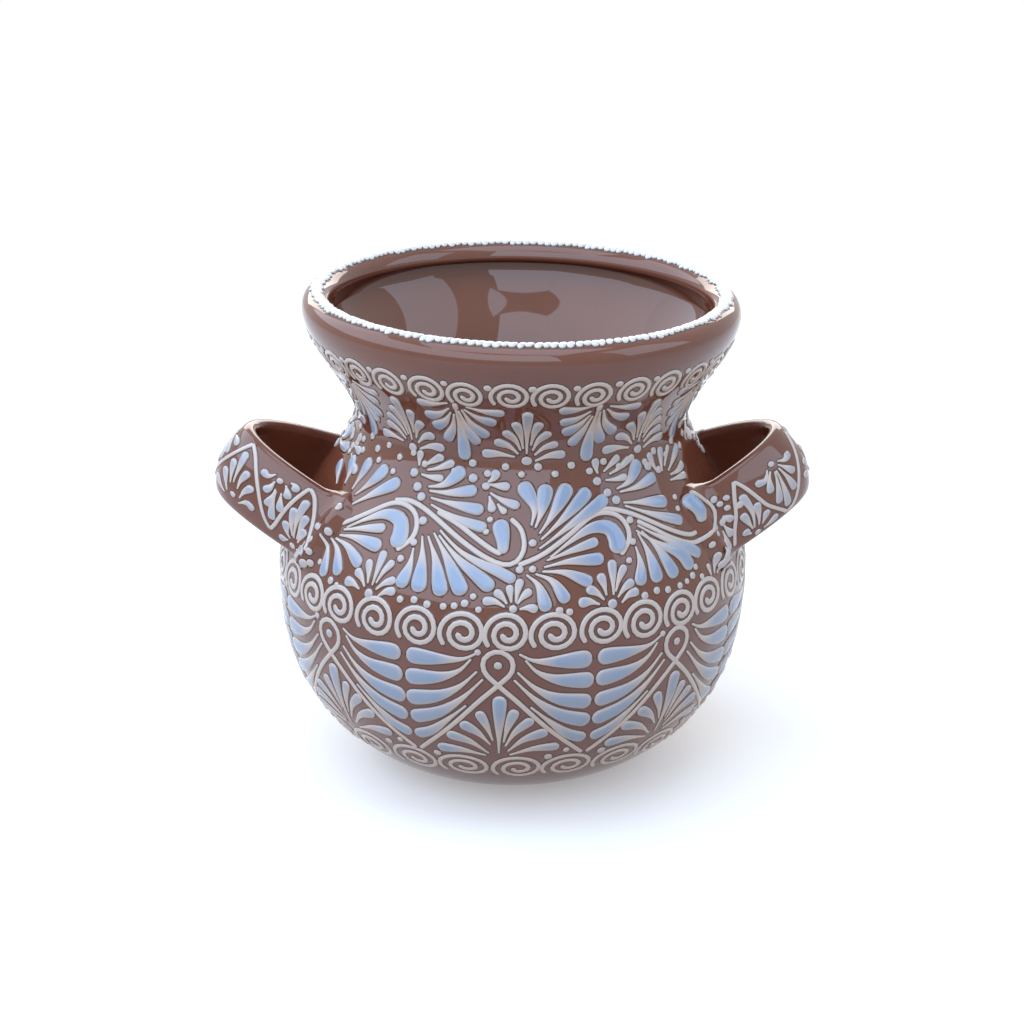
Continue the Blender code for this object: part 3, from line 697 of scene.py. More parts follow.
# %% Neck palmettes and dots
NECK_COUNT = 9
HANGING_AT = -18.3
STANDING_AT = 1.6
HANGING_STALK = [(0.0, 274.5), (-0.2, 269.5)]
STALK_WIDTH = 1.5
STANDING_HUB = (0.0, 237.6)
STANDING_DOT = {"size": 2.3, "squash": 1.15}
HANGING = [
    ((-2.0, 274.0), (-11.8, 271.8), 2.5, 0.06),
    ((-2.2, 270.0), (-10.6, 262.0), 2.7, 0.10),
    ((-2.0, 267.0), (-9.4, 254.0), 2.9, 0.10),
    ((-1.2, 266.0), (-6.4, 245.5), 2.8, 0.06),
    ((-0.3, 270.0), (-0.6, 236.0), 3.2, 0.0),
    ((0.6, 269.0), (4.4, 245.5), 2.8, -0.06),
    ((1.4, 270.0), (8.2, 251.0), 2.9, -0.10),
    ((2.2, 270.5), (11.2, 261.5), 2.7, -0.10),
    ((3.0, 272.5), (13.6, 269.5), 2.3, -0.05),
]
STANDING = [
    ((-3.8, 239.5), (-14.6, 240.6), 2.2, -0.05),
    ((-2.6, 241.0), (-10.4, 248.6), 2.3, -0.10),
    ((-2.0, 243.0), (-7.2, 256.0), 2.3, -0.08),
    ((-1.2, 244.0), (-3.6, 263.0), 2.2, -0.03),
    ((0.0, 241.0), (0.0, 271.0), 2.4, 0.0),
    ((1.2, 246.0), (3.8, 263.0), 2.2, 0.03),
    ((1.8, 243.0), (6.8, 255.5), 2.2, 0.08),
    ((2.4, 240.5), (9.8, 247.5), 2.2, 0.10),
    ((2.6, 237.5), (12.4, 240.8), 2.2, 0.08),
]


def shifted(point, angle):
    return (point[0] + angle, point[1])


def palmette(trail, angle, petals):
    for tail, tip, width, bend in petals:
        tail = shifted(tail, angle + wobble(0.2))
        tip = shifted(tip, angle + wobble(0.3))
        petal(trail, tail, tip, width, bend)


neck_trail = Trail(on_pot)
for index in range(NECK_COUNT):
    turn = 360.0 * index / NECK_COUNT
    palmette(neck_trail, HANGING_AT + turn, HANGING)
    cord(neck_trail, turned(HANGING_STALK, HANGING_AT + turn), STALK_WIDTH, rows=9)
    palmette(neck_trail, STANDING_AT + turn, STANDING)
    dot(neck_trail, shifted(STANDING_HUB, STANDING_AT + turn), **STANDING_DOT)
neck_nodes = numbered("neck_hanging", NECK_COUNT) + numbered("neck_standing", NECK_COUNT)
neck_palmettes = neck_trail.piece("neck_palmettes", *neck_nodes)

# %% [markdown]
# ## Loops, feathers and palmettes on the belly
# Eight loops hang from the belly scrolls. Each line crosses under its loop and runs down to meet its
# neighbour at the foot, and feathers fill the diamonds: their drops face each other on the middle
# line, their tails run up to the loops.

# %% Belly loops and feathers
LOOP_COUNT = 8
LOOP_AT = -3.3
LOOP_WIDTH = 1.30
LOOP_TOP = (0.0, 142.4)
LOOP_LINE = [
    (21.9, 76.5), (12.0, 97.0), (4.5, 114.5), (0.0, 124.0), (-3.0, 131.0), (-3.3, 137.5),
    (-1.6, 141.6),
]
FEATHERS = [
    ([(5.0, 141.3), (8.5, 137.6), (14.0, 136.6), (22.0, 136.4)], 4.3),
    ([(6.0, 138.0), (9.0, 131.0), (14.0, 126.5), (22.2, 124.3)], 4.2),
    ([(4.6, 131.5), (9.0, 122.0), (14.5, 115.5), (22.3, 111.8)], 4.1),
    ([(3.6, 127.3), (9.0, 115.0), (15.0, 105.5), (22.2, 99.8)], 3.9),
    ([(7.6, 111.5), (12.0, 102.5), (17.0, 93.0), (21.9, 88.0)], 3.1),
]
BELLY_FAN = [
    ((-3.4, 77.2), (-16.8, 81.0), 3.0, -0.06),
    ((-2.6, 79.0), (-13.2, 92.2), 2.8, -0.10),
    ((-2.2, 86.0), (-9.6, 100.5), 2.7, -0.08),
    ((-1.4, 89.0), (-4.6, 108.5), 2.5, -0.03),
    ((-0.4, 79.0), (0.3, 118.0), 3.2, 0.0),
    ((1.0, 88.0), (4.2, 110.0), 2.5, 0.03),
    ((1.6, 85.0), (8.0, 104.0), 2.6, 0.08),
    ((2.0, 81.0), (11.6, 95.5), 2.8, 0.10),
    ((2.6, 78.0), (15.4, 84.0), 2.6, 0.08),
]
BELLY_DOTS = [
    (0.0, 135.0, 2.2), (12.8, 75.6, 2.2), (-17.2, 75.0, 2.2), (17.4, 80.2, 1.7), (-4.6, 141.8, 1.7),
]


def mirrored(points):
    return [(-angle, along) for angle, along in points]


belly_trail = Trail(on_pot)
for index in range(LOOP_COUNT):
    at = LOOP_AT + 360.0 * index / LOOP_COUNT
    whole = LOOP_LINE + [LOOP_TOP] + mirrored(LOOP_LINE)[::-1]
    cord(belly_trail, turned(whole, at), LOOP_WIDTH, rows=90)
    for path, width in FEATHERS:
        for hand in (path, mirrored(path)):
            points = turned(hand, at + wobble(0.25))
            middle = points[2]
            size = width * (1 + wobble(0.05))
            drop_mark(belly_trail, middle, local(middle, points), size, rows=18)
    palmette(belly_trail, at, BELLY_FAN)
    for angle, along, size in BELLY_DOTS:
        dot(belly_trail, (at + angle, along), size)
belly_nodes = numbered("belly_loop", LOOP_COUNT) + numbered("belly_palmette", LOOP_COUNT)
belly_ornament = belly_trail.piece("belly_loops_and_feathers", *belly_nodes)

# %% [markdown]
# ## Fans and stems on the shoulder
# The shoulder carries a running plant: a stem rises, hooks over a fat leaf and falls again, with
# fans of long drops in each hollow. One sixth of the ring is listed and turned round the
# pot; the sixths that end or start at a handle's root have drops and stems of their own. Marks that
# would lie under a root or inside a handle's loop are left out, as on the pot.

# %% Marks of one sixth of the shoulder
RISING_FAN = [
    ([(4.0, 205.0), (4.6, 215.0), (0.6, 227.0)], 4.2),
    ([(5.0, 204.0), (6.8, 213.0), (8.3, 226.0)], 4.2),
    ([(6.0, 201.0), (9.6, 210.0), (15.2, 225.5)], 4.1),
    ([(6.4, 198.0), (13.0, 208.5), (21.6, 222.0)], 3.8),
    ([(6.0, 193.5), (15.5, 205.5), (27.0, 217.0)], 3.6),
]
FROM_ROOT_FAN = [
    ([(-6.2, 204.4), (-9.5, 209.5), (-12.8, 214.6)], 3.3),
    ([(-1.8, 207.0), (-2.8, 214.0), (-5.6, 221.0)], 3.6),
    ([(2.6, 206.5), (3.4, 214.5), (4.3, 224.8)], 3.7),
    ([(5.5, 205.0), (9.8, 214.4), (13.8, 224.4)], 3.7),
    ([(6.5, 200.0), (13.3, 209.6), (21.2, 219.4)], 3.7),
]
SHOULDER_DROPS = [
    ([(8.0, 187.6), (15.0, 192.0), (22.2, 195.5)], 2.6),
    ([(7.4, 184.4), (14.0, 186.5), (23.2, 186.2)], 3.4),
    ([(7.0, 182.3), (13.0, 181.0), (19.5, 174.6)], 3.2),
    ([(5.4, 181.3), (9.8, 177.0), (13.2, 166.4)], 3.3),
    ([(3.0, 181.0), (6.2, 175.0), (8.2, 162.6)], 3.2),
    ([(33.0, 189.5), (33.4, 180.0), (32.2, 169.2)], 3.6),
    ([(34.4, 196.0), (36.4, 184.0), (37.4, 168.6)], 3.9),
    ([(35.6, 196.5), (39.6, 185.0), (43.0, 168.4)], 3.9),
    ([(31.0, 220.0), (36.5, 223.0), (41.8, 232.0)], 3.7),
    ([(32.0, 218.2), (39.0, 219.0), (47.2, 222.0)], 3.1),
    ([(25.6, 229.0), (25.2, 232.0), (25.2, 237.0)], 2.1),
    ([(27.2, 229.6), (30.0, 232.5), (33.8, 236.4)], 2.0),
    ([(29.2, 228.0), (33.0, 230.0), (38.4, 234.2)], 2.0),
    ([(27.6, 225.4), (31.0, 225.0), (35.8, 225.4)], 1.9),
]
RUN_ON_DROPS = [
    ([(37.0, 198.5), (42.6, 186.5), (48.2, 170.0)], 3.8),
    ([(38.5, 197.6), (45.5, 186.8), (50.8, 179.8), (55.0, 173.4)], 3.5),
    ([(38.4, 200.2), (45.0, 191.4), (50.4, 186.4), (56.2, 182.0), (60.2, 177.8)], 2.9),
    ([(33.0, 215.0), (41.0, 213.6), (50.0, 212.0)], 3.1),
    ([(34.0, 211.8), (43.0, 206.8), (51.9, 203.2)], 2.8),
    ([(49.8, 226.0), (51.6, 228.4), (52.6, 232.6)], 2.4),
    ([(50.6, 225.2), (53.8, 224.8), (57.4, 224.6)], 2.2),
    ([(51.2, 221.2), (55.2, 217.8), (60.4, 214.8)], 2.4),
    ([(50.8, 219.6), (51.6, 216.0), (52.4, 211.4)], 2.0),
    ([(53.6, 216.0), (54.6, 214.0), (56.4, 211.2)], 1.7),
]
RUN_ON_BLOB = [(56.9, 191.0), (56.3, 199.0), (54.8, 208.0)]
RUN_ON_STEMS = [
    [(21.5, 209.8), (26.5, 211.4), (31.5, 209.6), (37.8, 204.4), (46.0, 195.6), (52.0, 189.4),
     (57.0, 185.8), (60.4, 187.2), (62.2, 194.0), (61.2, 203.0), (58.0, 208.8)],
    [(36.5, 209.0), (43.4, 204.2), (49.1, 198.2), (53.4, 193.4), (56.4, 190.8)],
]
AT_ROOT_DROPS = [
    ([(34.2, 197.4), (40.3, 187.8), (46.7, 179.4), (49.4, 169.6)], 3.8),
    ([(34.8, 199.8), (40.0, 192.6), (47.6, 183.4), (54.0, 174.6)], 3.4),
    ([(32.3, 212.6), (39.3, 210.6), (48.3, 207.4)], 3.4),
    ([(32.1, 211.0), (42.0, 202.4), (51.3, 194.8)], 3.0),
    ([(48.6, 222.6), (47.4, 228.0), (46.8, 234.2)], 2.1),
    ([(50.8, 222.6), (52.0, 229.0), (53.3, 235.0)], 2.2),
    ([(53.0, 224.6), (55.5, 229.0), (58.4, 234.0)], 1.6),
    ([(53.8, 221.6), (58.5, 226.0), (64.0, 231.4)], 2.4),
    ([(54.4, 219.4), (59.0, 219.6), (63.6, 221.8)], 2.2),
    ([(53.4, 216.8), (58.0, 216.2), (62.6, 215.6)], 2.0),
    ([(57.8, 161.4), (58.8, 166.0), (59.8, 171.2)], 2.1),
    ([(56.5, 161.4), (56.2, 164.6), (56.0, 168.2)], 1.7),
    ([(58.9, 160.6), (60.2, 163.4), (61.9, 166.8)], 1.7),
]
AT_ROOT_BLOB = [(57.3, 189.6), (57.2, 197.2), (55.4, 206.0)]
AT_ROOT_STEMS = [
    [(21.5, 209.8), (26.5, 210.8), (31.5, 208.2), (37.2, 203.0), (46.3, 192.2), (51.4, 187.2),
     (54.8, 186.0), (57.6, 187.8), (58.6, 192.2)],
    [(35.2, 202.0), (40.0, 196.0), (45.4, 188.6), (51.6, 182.4), (56.9, 181.4), (61.2, 184.6),
     (63.3, 189.8), (62.9, 195.0), (60.6, 200.6), (57.4, 206.6)],
]
SHOULDER_LEAF = [
    (9.0, 189.0), (14.5, 196.4), (20.5, 202.0), (25.6, 201.4), (27.6, 195.5), (27.6, 187.4),
]
SHOULDER_STEM = [
    (1.0, 185.5), (7.0, 190.6), (14.0, 199.4), (20.4, 207.4), (25.0, 209.2), (29.4, 206.6),
    (31.6, 200.6), (31.4, 193.6), (28.2, 186.4),
]
SHOULDER_DOTS = [
    (4.4, 196.6, 2.0), (1.4, 183.4, 1.9), (4.6, 183.6, 1.9), (33.0, 203.2, 2.1), (32.4, 192.0, 1.9),
    (30.0, 214.6, 2.5), (27.6, 219.0, 2.3), (24.8, 225.4, 2.3), (45.2, 227.6, 2.2), (49.6, 224.2, 2.1),
    (30.2, 183.0, 1.8), (24.2, 163.0, 2.3), (0.4, 164.2, 2.1), (51.6, 201.6, 1.6), (52.2, 207.8, 1.6),
]
TALL_PALMETTE = [
    ((-3.0, 163.6), (-8.4, 165.4), 2.4, -0.10),
    ((-1.8, 165.4), (-6.0, 172.4), 2.2, -0.08),
    ((-1.2, 167.4), (-2.8, 179.0), 2.1, -0.03),
    ((0.3, 167.0), (0.9, 185.0), 2.3, 0.0),
    ((1.2, 168.6), (4.4, 181.2), 2.0, 0.05),
    ((1.4, 165.6), (6.2, 172.6), 2.1, 0.08),
    ((2.4, 162.6), (7.2, 167.0), 2.2, 0.12),
]
LOW_PALMETTE = [
    ((-1.6, 165.0), (-7.0, 167.6), 2.2, -0.12),
    ((-1.2, 166.4), (-4.4, 173.0), 2.0, -0.06),
    ((-0.4, 167.0), (-1.2, 176.0), 1.8, 0.0),
    ((0.6, 167.0), (1.8, 179.0), 2.0, 0.03),
    ((1.2, 166.4), (4.4, 173.4), 1.9, 0.06),
    ((1.8, 164.0), (5.8, 163.6), 2.0, 0.10),
]
LOW_DOTS = [
    (33.0, 163.8, 2.0), (36.6, 164.8, 2.0), (40.0, 163.6, 2.0), (44.0, 163.6, 1.9), (46.6, 164.4, 1.7),
    (49.0, 166.0, 2.0), (11.2, 162.6, 2.0), (13.6, 161.6, 1.7), (52.4, 163.4, 1.7), (50.8, 169.6, 1.6),
]
RIGHT_ROOT_DOTS = [(64.8, 184.4), (60.7, 180.0), (57.9, 176.2), (63.3, 174.2), (69.0, 187.0)]
RIGHT_ROOT_DROPS = [((61.6, 172.0), (61.2, 165.0), 1.7, 0.0)]
LEFT_ROOT_DOTS = [
    (-60.8, 183.2), (-60.2, 176.4), (-59.1, 170.8), (-58.5, 165.6), (-55.7, 168.4), (-68.2, 227.0),
    (-71.1, 221.2), (-62.6, 226.2), (-52.1, 225.6), (-44.0, 223.0),
]
LEFT_ROOT_DROPS = [((-62.4, 174.0), (-64.0, 163.6), 1.9, 0.0)]
sixth_drops = len(RISING_FAN + SHOULDER_DROPS + RUN_ON_DROPS)
print("one sixth of the shoulder has", sixth_drops, "drops")

# %% Lay the shoulder plant round the pot
SHOULDER_COUNT = 6
SHOULDER_AT = -0.5
SHOULDER_SLIM = 0.92
LEAF_WIDTH = 4.3
BLOB = {"width": 3.9, "tail": 2.6}
STEM_WIDTH = 1.3
ROOT_DOT_SIZE = 1.7
PALMETTES_AT = ((24.2, TALL_PALMETTE), (0.2, LOW_PALMETTE))
PALMETTE_REACH = [(-8.0, 170.0), (8.0, 170.0)]
HANDLE_CLEAR = {"half_angle": 24.0, "wide_angle": 27.5, "low": 158.0, "middle": 198.0, "high": 213.0}


def hidden_by_handle(angle, along):
    side = abs((angle + 180.0) % 360.0 - 180.0)
    part = "half_angle" if along < HANDLE_CLEAR["middle"] else "wide_angle"
    at_height = HANDLE_CLEAR["low"] < along < HANDLE_CLEAR["high"]
    return at_height and abs(side - 90.0) < HANDLE_CLEAR[part]


def to_back(points):
    return [(180.0 - angle, along) for angle, along in points]


def shown(points):
    return not any(hidden_by_handle(angle, along) for angle, along in points)


shoulder_trail = Trail(on_pot)
for index in range(SHOULDER_COUNT):
    at = 360.0 * index / SHOULDER_COUNT + SHOULDER_AT
    ends_at_root = index % 3 == 0
    starts_at_root = index % 3 == 2
    fan = FROM_ROOT_FAN if starts_at_root else RISING_FAN
    drops = fan + SHOULDER_DROPS + (AT_ROOT_DROPS if ends_at_root else RUN_ON_DROPS)
    for path, width in drops:
        points = turned(path, at + wobble(0.3))
        if (path, width) in FROM_ROOT_FAN or shown(points):
            size = SHOULDER_SLIM * width * (1 + wobble(0.05))
            drop_mark(shoulder_trail, points[1], local(points[1], points), size, rows=18)
    leaf = turned(SHOULDER_LEAF, at)
    if shown(leaf):
        drop_mark(shoulder_trail, leaf[2], local(leaf[2], leaf), LEAF_WIDTH, rows=30)
    blob = turned(AT_ROOT_BLOB if ends_at_root else RUN_ON_BLOB, at)
    if shown(blob):
        drop_mark(shoulder_trail, blob[1], local(blob[1], blob), rows=20, **BLOB)
    for path in [SHOULDER_STEM] + (AT_ROOT_STEMS if ends_at_root else RUN_ON_STEMS):
        points = turned(path, at)
        if shown(points):
            cord(shoulder_trail, points, STEM_WIDTH, rows=44)
    for angle, petals in PALMETTES_AT:
        if shown(turned(PALMETTE_REACH, at + angle)):
            palmette(shoulder_trail, at + angle, petals)
    for angle, along, size in SHOULDER_DOTS + LOW_DOTS:
        if shown([(at + angle, along)]):
            dot(shoulder_trail, (at + angle, along), size)
for dots, drops in ((RIGHT_ROOT_DOTS, RIGHT_ROOT_DROPS), (LEFT_ROOT_DOTS, LEFT_ROOT_DROPS)):
    for place in dots + to_back(dots):
        dot(shoulder_trail, place, ROOT_DOT_SIZE)
    for tail, tip, width, bend in drops:
        petal(shoulder_trail, tail, tip, width, bend)
        petal(shoulder_trail, *to_back([tail, tip]), width, bend)
shoulder_nodes = numbered("shoulder_rising", 2) + numbered("shoulder_side", 2)
shoulder_nodes += numbered("shoulder_falling", 4) + numbered("shoulder_crest", 4)
shoulder_nodes += numbered("shoulder_stem", 4) + numbered("shoulder_leaf", 4)
shoulder_plant = shoulder_trail.piece("shoulder_plant", *shoulder_nodes)

# %% [markdown]
# ## Dots at the foot of the neck, beads on the rim
# A loose double row of dots closes the neck zone. The rim's crest has a close row of short slanting
# dabs, pressed side by side like a rope, each laid across the crest.

# %% Neck dots and rim beads
DOT_COUNT = 66
DOT_SIZE = 1.9
DOT_ROWS = (230.4, 234.6)
dot_trail = Trail(on_pot)
for index in range(DOT_COUNT):
    angle = 360.0 * index / DOT_COUNT
    dot(dot_trail, (angle + wobble(0.5), DOT_ROWS[index % 2] + wobble(0.7)), DOT_SIZE)
neck_dots = dot_trail.piece("neck_dots")

BEAD_COUNT = 168
BEAD_REACH = 3.1
BEAD_SLANT = 1.6
BEAD_WIDTH = 1.95
BEAD_HEIGHT = 1.3
BEAD_PAST_CREST = 0.3
bead_trail = Trail(on_pot)
crest = 1000.0 * crest_length
for index in range(BEAD_COUNT):
    angle = 360.0 * index / BEAD_COUNT + wobble(0.22)
    reach = BEAD_REACH * (1 + wobble(0.25))
    centre = (angle, crest + BEAD_PAST_CREST + wobble(0.5))
    t = even_rows(11)
    spine = np.stack([BEAD_SLANT * (2 * t - 1), reach * (2 * t - 1)], axis=1)
    shape = np.maximum(1 - (2 * t - 1) ** 4, 0) ** 0.5
    width = BEAD_WIDTH * (1 + wobble(0.15))
    half = np.maximum(width * shape, LEAST_HALF_WIDTH)
    bead_trail.mark(centre, spine, half, BEAD_HEIGHT * np.sqrt(shape))
rim_beads = bead_trail.piece("rim_slip_beads", "rim_slip_bead")

# %% [markdown]
# ## Zigzags on the handles
# Each strap has a zigzag of slip with a small palmette in every triangle, and plain edges. The
# marks are laid on the outer face of the strap, by distance round the loop and up the strap.

# %% Handle ornament
STRAP_RISE = 47.0
STRAP_REACH = 1.3
STRAP_SAMPLES = 500
STRAP_LINE = 1.2
STRAP_DROP = 2.3
HUB_SIZE = 2.0
HUB_GAP = 3.6
LEFT_LINES = [
    [(-1, 6), (10, 26), (20, 47)],
    [(20, 47), (28, 41), (40, 26), (49, 11), (54, 5)],
    [(54, 5), (57, 14), (60, 35), (62, 47)],
    [(62, 47), (67, 44), (72, 37), (76, 28), (80, 12)],
]
LEFT_DROPS = [
    [(19, 6), (13, 9), (8, 13)], [(21, 9), (18, 15), (14, 23)], [(22, 16), (20, 23), (17, 32)],
    [(24, 18), (23, 29), (21, 41)], [(28, 16), (28, 23), (30, 32)], [(31, 11), (33, 18), (37, 25)],
    [(31, 7), (37, 12), (42, 10)],
    [(43, 42), (40, 38), (35, 39)], [(45, 38), (45, 33), (43, 28)], [(48, 34), (49, 28), (48, 20)],
    [(49, 33), (51, 24), (54, 13)], [(52, 34), (54, 29), (57, 22)], [(51, 40), (54, 37), (57, 33)],
    [(52, 43), (55, 43), (58, 40)],
    [(66, 6), (63, 5), (60, 4)], [(67, 8), (64, 12), (62, 19)], [(68, 11), (65, 20), (63, 31)],
    [(69, 10), (67, 26), (66, 40)], [(71, 11), (71, 20), (71, 31)], [(72, 9), (73, 15), (74, 22)],
    [(72, 4), (75, 6), (78, 11)],
]
LEFT_HUBS = [(26, 10), (47, 40), (69, 4)]
LEFT_MIDDLE = ((0, 42), [(-12, 39), (-8, 29), (-4, 22), (0, 17), (4, 22), (8, 29), (12, 39)])
RIGHT_LINES = [
    [(68, 3), (66, 14), (62, 24), (58, 34), (52, 44)],
    [(52, 44), (50, 38), (46, 23), (42, 14), (31, 0)],
    [(31, 0), (24, 4), (15, 22), (4, 44)],
]
RIGHT_DROPS = [
    [(33, 37), (38, 32), (44, 34)], [(32, 35), (36, 30), (39, 22)], [(30, 33), (33, 23), (36, 11)],
    [(29, 33), (30, 20), (30, 4)], [(27, 33), (25, 23), (23, 12)], [(26, 35), (23, 30), (19, 23)],
    [(25, 37), (20, 34), (15, 36)],
    [(54, 6), (53, 20), (54, 34)], [(55, 6), (57, 13), (59, 22)], [(56, 3), (58, 5), (61, 9)],
    [(51, 6), (50, 13), (49, 23)], [(49, 5), (47, 8), (44, 13)], [(48, 1), (43, 2), (38, 4)],
    [(69, 29), (67, 27), (65, 22)], [(71, 24), (70, 19), (68, 12)], [(73, 21), (73, 13), (73, 4)],
]
RIGHT_HUBS = [(29, 38), (52, 1), (61, 38), (66, 37), (64, 32)]
RIGHT_MIDDLE = ((0, 11), [(-13, 14), (-8, 23), (0, 31), (8, 23), (13, 14)])


def on_strap(side):
    """The outer face of a strap: millimetres round the loop from its middle, and up the strap."""
    run_steps = np.linspace(-STRAP_REACH, STRAP_REACH, STRAP_SAMPLES)
    middle = strap_middle(side, run_steps, np.full(STRAP_SAMPLES, 0.5))
    gaps = np.linalg.norm(np.diff(middle, axis=0), axis=1)
    run = np.concatenate([[0.0], np.cumsum(gaps)]) * 1000.0
    run -= np.interp(0.0, run_steps, run)

    def lay(centre, x, y, lift):
        along = np.interp(side * (centre[0] + x), run, run_steps)
        across = (centre[1] + y) / STRAP_RISE
        outward, _ = strap_frame(side, along, across)
        return drape(strap_middle(side, along, across), outward, lift)

    return lay


def strap_ornament(name, side, lines, drops, hubs, middle):
    trail = Trail(on_strap(side))
    hub, tips = middle
    dot_mark(trail, hub, HUB_SIZE)
    for x, y in tips:
        way = np.array((x - hub[0], y - hub[1]), float)
        drop_mark(trail, hub, [HUB_GAP * way / np.hypot(*way), way], STRAP_DROP, rows=13)
    for flip in (1, -1):
        for points in lines + drops:
            centre = (flip * points[0][0], points[0][1])
            path = [(flip * x - centre[0], y - centre[1]) for x, y in points]
            if points in lines:
                cord_mark(trail, centre, path, STRAP_LINE)
            else:
                drop_mark(trail, centre, path, STRAP_DROP, rows=13)
        for x, y in hubs:
            dot_mark(trail, (flip * x, y), HUB_SIZE)
    return trail.piece(name)


left_zigzag = strap_ornament(
    "handle_zigzag_left", -1, LEFT_LINES, LEFT_DROPS, LEFT_HUBS, LEFT_MIDDLE
)
right_zigzag = strap_ornament(
    "handle_zigzag_right", 1, RIGHT_LINES, RIGHT_DROPS, RIGHT_HUBS, RIGHT_MIDDLE
)

# %% [markdown]
# ## Shader maths in plain expressions
# Node trees are hard to read as code. One small class wraps a socket so that sums and products of
# values add Math nodes, and one method adds any other node with its settings and inputs.


# %% A finish and its wires
class Wire:
    """A shader value: arithmetic on it adds Math nodes."""

    def __init__(self, finish, socket):
        self.finish = finish
        self.socket = socket

    def maths(self, operation, first, second):
        return self.finish.node("ShaderNodeMath", {"operation": operation}, {0: first, 1: second})

    def __add__(self, other):
        return self.maths("ADD", self, other)

    def __mul__(self, other):
        return self.maths("MULTIPLY", self, other)

    __radd__ = __add__
    __rmul__ = __mul__


class Finish:
    """A material with a Principled shader."""

    def __init__(self, name):
        self.material = bpy.data.materials.new(name)
        self.material.use_nodes = True
        self.tree = self.material.node_tree
        self.shader = self.tree.nodes["Principled BSDF"]

    def join(self, value, socket):
        if isinstance(value, Wire):
            self.tree.links.new(value.socket, socket)
        else:
            socket.default_value = value

    def node(self, kind, settings, inputs, output=0):
        made = self.tree.nodes.new(kind)
        for key, value in settings.items():
            setattr(made, key, value)
        for key, value in inputs.items():
            self.join(value, made.inputs[key])
        return Wire(self, made.outputs[output])

    def set(self, **values):
        for key, value in values.items():
            self.join(value, self.shader.inputs[key.replace("_", " ")])

    def mix(self, share, first, second):
        settings = {"data_type": "RGBA", "blend_type": "MIX"}
        return self.node("ShaderNodeMix", settings, {0: share, 6: first, 7: second}, 2)

    def noise(self, place, scale, detail):
        inputs = {"Vector": place, "Scale": scale, "Detail": detail}
        return self.node("ShaderNodeTexNoise", {}, inputs, "Fac")

    def between(self, value, low, high):
        return self.node("ShaderNodeMapRange", {}, {"Value": value, "From Min": low, "From Max": high})


# %% [markdown]
# ## The glaze
# The clay is red-brown and a little mottled, with faint lines left by the wheel, and a clear glossy
# glaze lies over clay and slip alike. The slip is white and thins to a pinkish grey where it is fine;
# the cool blue in the middle of the fuller marks is a painted reflection of the sky on their domes.
# The glaze is darker where it pools beside a mark. The clay's colour comes from one function, so the
# film round each mark melts into the clay of the pot.

# %% Clay and slip finishes
CLAY_MID = (0.160, 0.049, 0.027, 1.0)
CLAY_DARK = (0.102, 0.032, 0.019, 1.0)
CLAY_PALE = (0.216, 0.073, 0.043, 1.0)
POOL_BROWN = (0.048, 0.018, 0.013, 1.0)
# The blue in this colour is a painted reflection of the sky on the domes of the fuller marks; the slip
# itself is white.
SLIP_THICK_PAINTED_SKY = (0.250, 0.355, 0.535, 1.0)
SLIP_THIN = (0.610, 0.535, 0.500, 1.0)
# The rim beads are the same slip, painted a paler cream to stand for the sunlight that catches the
# rope on the crest.
RIM_SLIP_PAINTED_SUNLIT = (0.700, 0.670, 0.630, 1.0)
WHEEL_LINES = 150.0
WHEEL_DRIFT = 0.35
CLOUD_SCALE = 22.0
SPECK_SCALE = 900.0
CLOUD_SHARE = 0.40
STREAK_SHARE = 0.07
SPECK_SHARE = 0.25
POOL_SHARE = 0.92
THIN_DEPTH = 0.54
THICK_DEPTH = 0.95
THIN_CLOUDS = 0.20
GLAZE = {"Coat_Weight": 1.0, "Coat_IOR": 1.55, "Specular_IOR_Level": 0.0}


def clay_colour(finish):
    """The clay's colour, with the streaks and clouds that also shape its surface."""
    place = finish.node("ShaderNodeTexCoord", {}, {}, "Object")
    split = finish.node("ShaderNodeSeparateXYZ", {}, {"Vector": place})
    x, y, z = (Wire(finish, split.socket.node.outputs[axis]) for axis in "XYZ")
    angle = finish.node("ShaderNodeMath", {"operation": "ARCTAN2"}, {0: y, 1: x})
    lines = finish.node(
        "ShaderNodeCombineXYZ", {}, {"X": angle * WHEEL_DRIFT, "Y": z * WHEEL_LINES, "Z": 0.0}
    )
    streak = finish.between(finish.noise(lines, 1.0, 2.0), 0.38, 0.68)
    cloud = finish.between(finish.noise(place, CLOUD_SCALE, 4.0), 0.35, 0.70)
    speck = finish.between(finish.noise(place, SPECK_SCALE, 2.0), 0.60, 0.75)
    colour = finish.mix(cloud * CLOUD_SHARE, CLAY_MID, CLAY_PALE)
    colour = finish.mix(streak * STREAK_SHARE, colour, CLAY_DARK)
    return finish.mix(speck * SPECK_SHARE, colour, CLAY_DARK), streak, cloud


def clay_finish():
    finish = Finish("glazed red clay")
    colour, streak, cloud = clay_colour(finish)
    bump = finish.node("ShaderNodeBump", {}, {"Strength": 0.05, "Distance": 0.0006, "Height": cloud})
    finish.set(Base_Color=colour, Roughness=0.24 + streak * 0.08, Normal=bump)
    finish.set(Coat_Roughness=0.03, **GLAZE)
    return finish.material


def slip_finish(name, thin, thick_with_painted_light):
    finish = Finish(name)
    clay, _, cloud = clay_colour(finish)
    slip = finish.node("ShaderNodeAttribute", {"attribute_name": "slip"}, {}, "Fac")
    depth = finish.node("ShaderNodeAttribute", {"attribute_name": "depth"}, {}, "Fac")
    pooled = finish.mix(depth * POOL_SHARE, clay, POOL_BROWN)
    # Towards the full middle of a mark the colour moves to the second one: for the white slip that is
    # a painted sky reflection, for the rim beads painted sunlight.
    white = finish.mix(finish.between(depth, THIN_DEPTH, THICK_DEPTH), thin, thick_with_painted_light)
    white = finish.mix(cloud * THIN_CLOUDS, white, thin)
    finish.set(Base_Color=finish.mix(slip, pooled, white), Roughness=0.26)
    finish.set(Coat_Roughness=0.04, **GLAZE)
    return finish.material


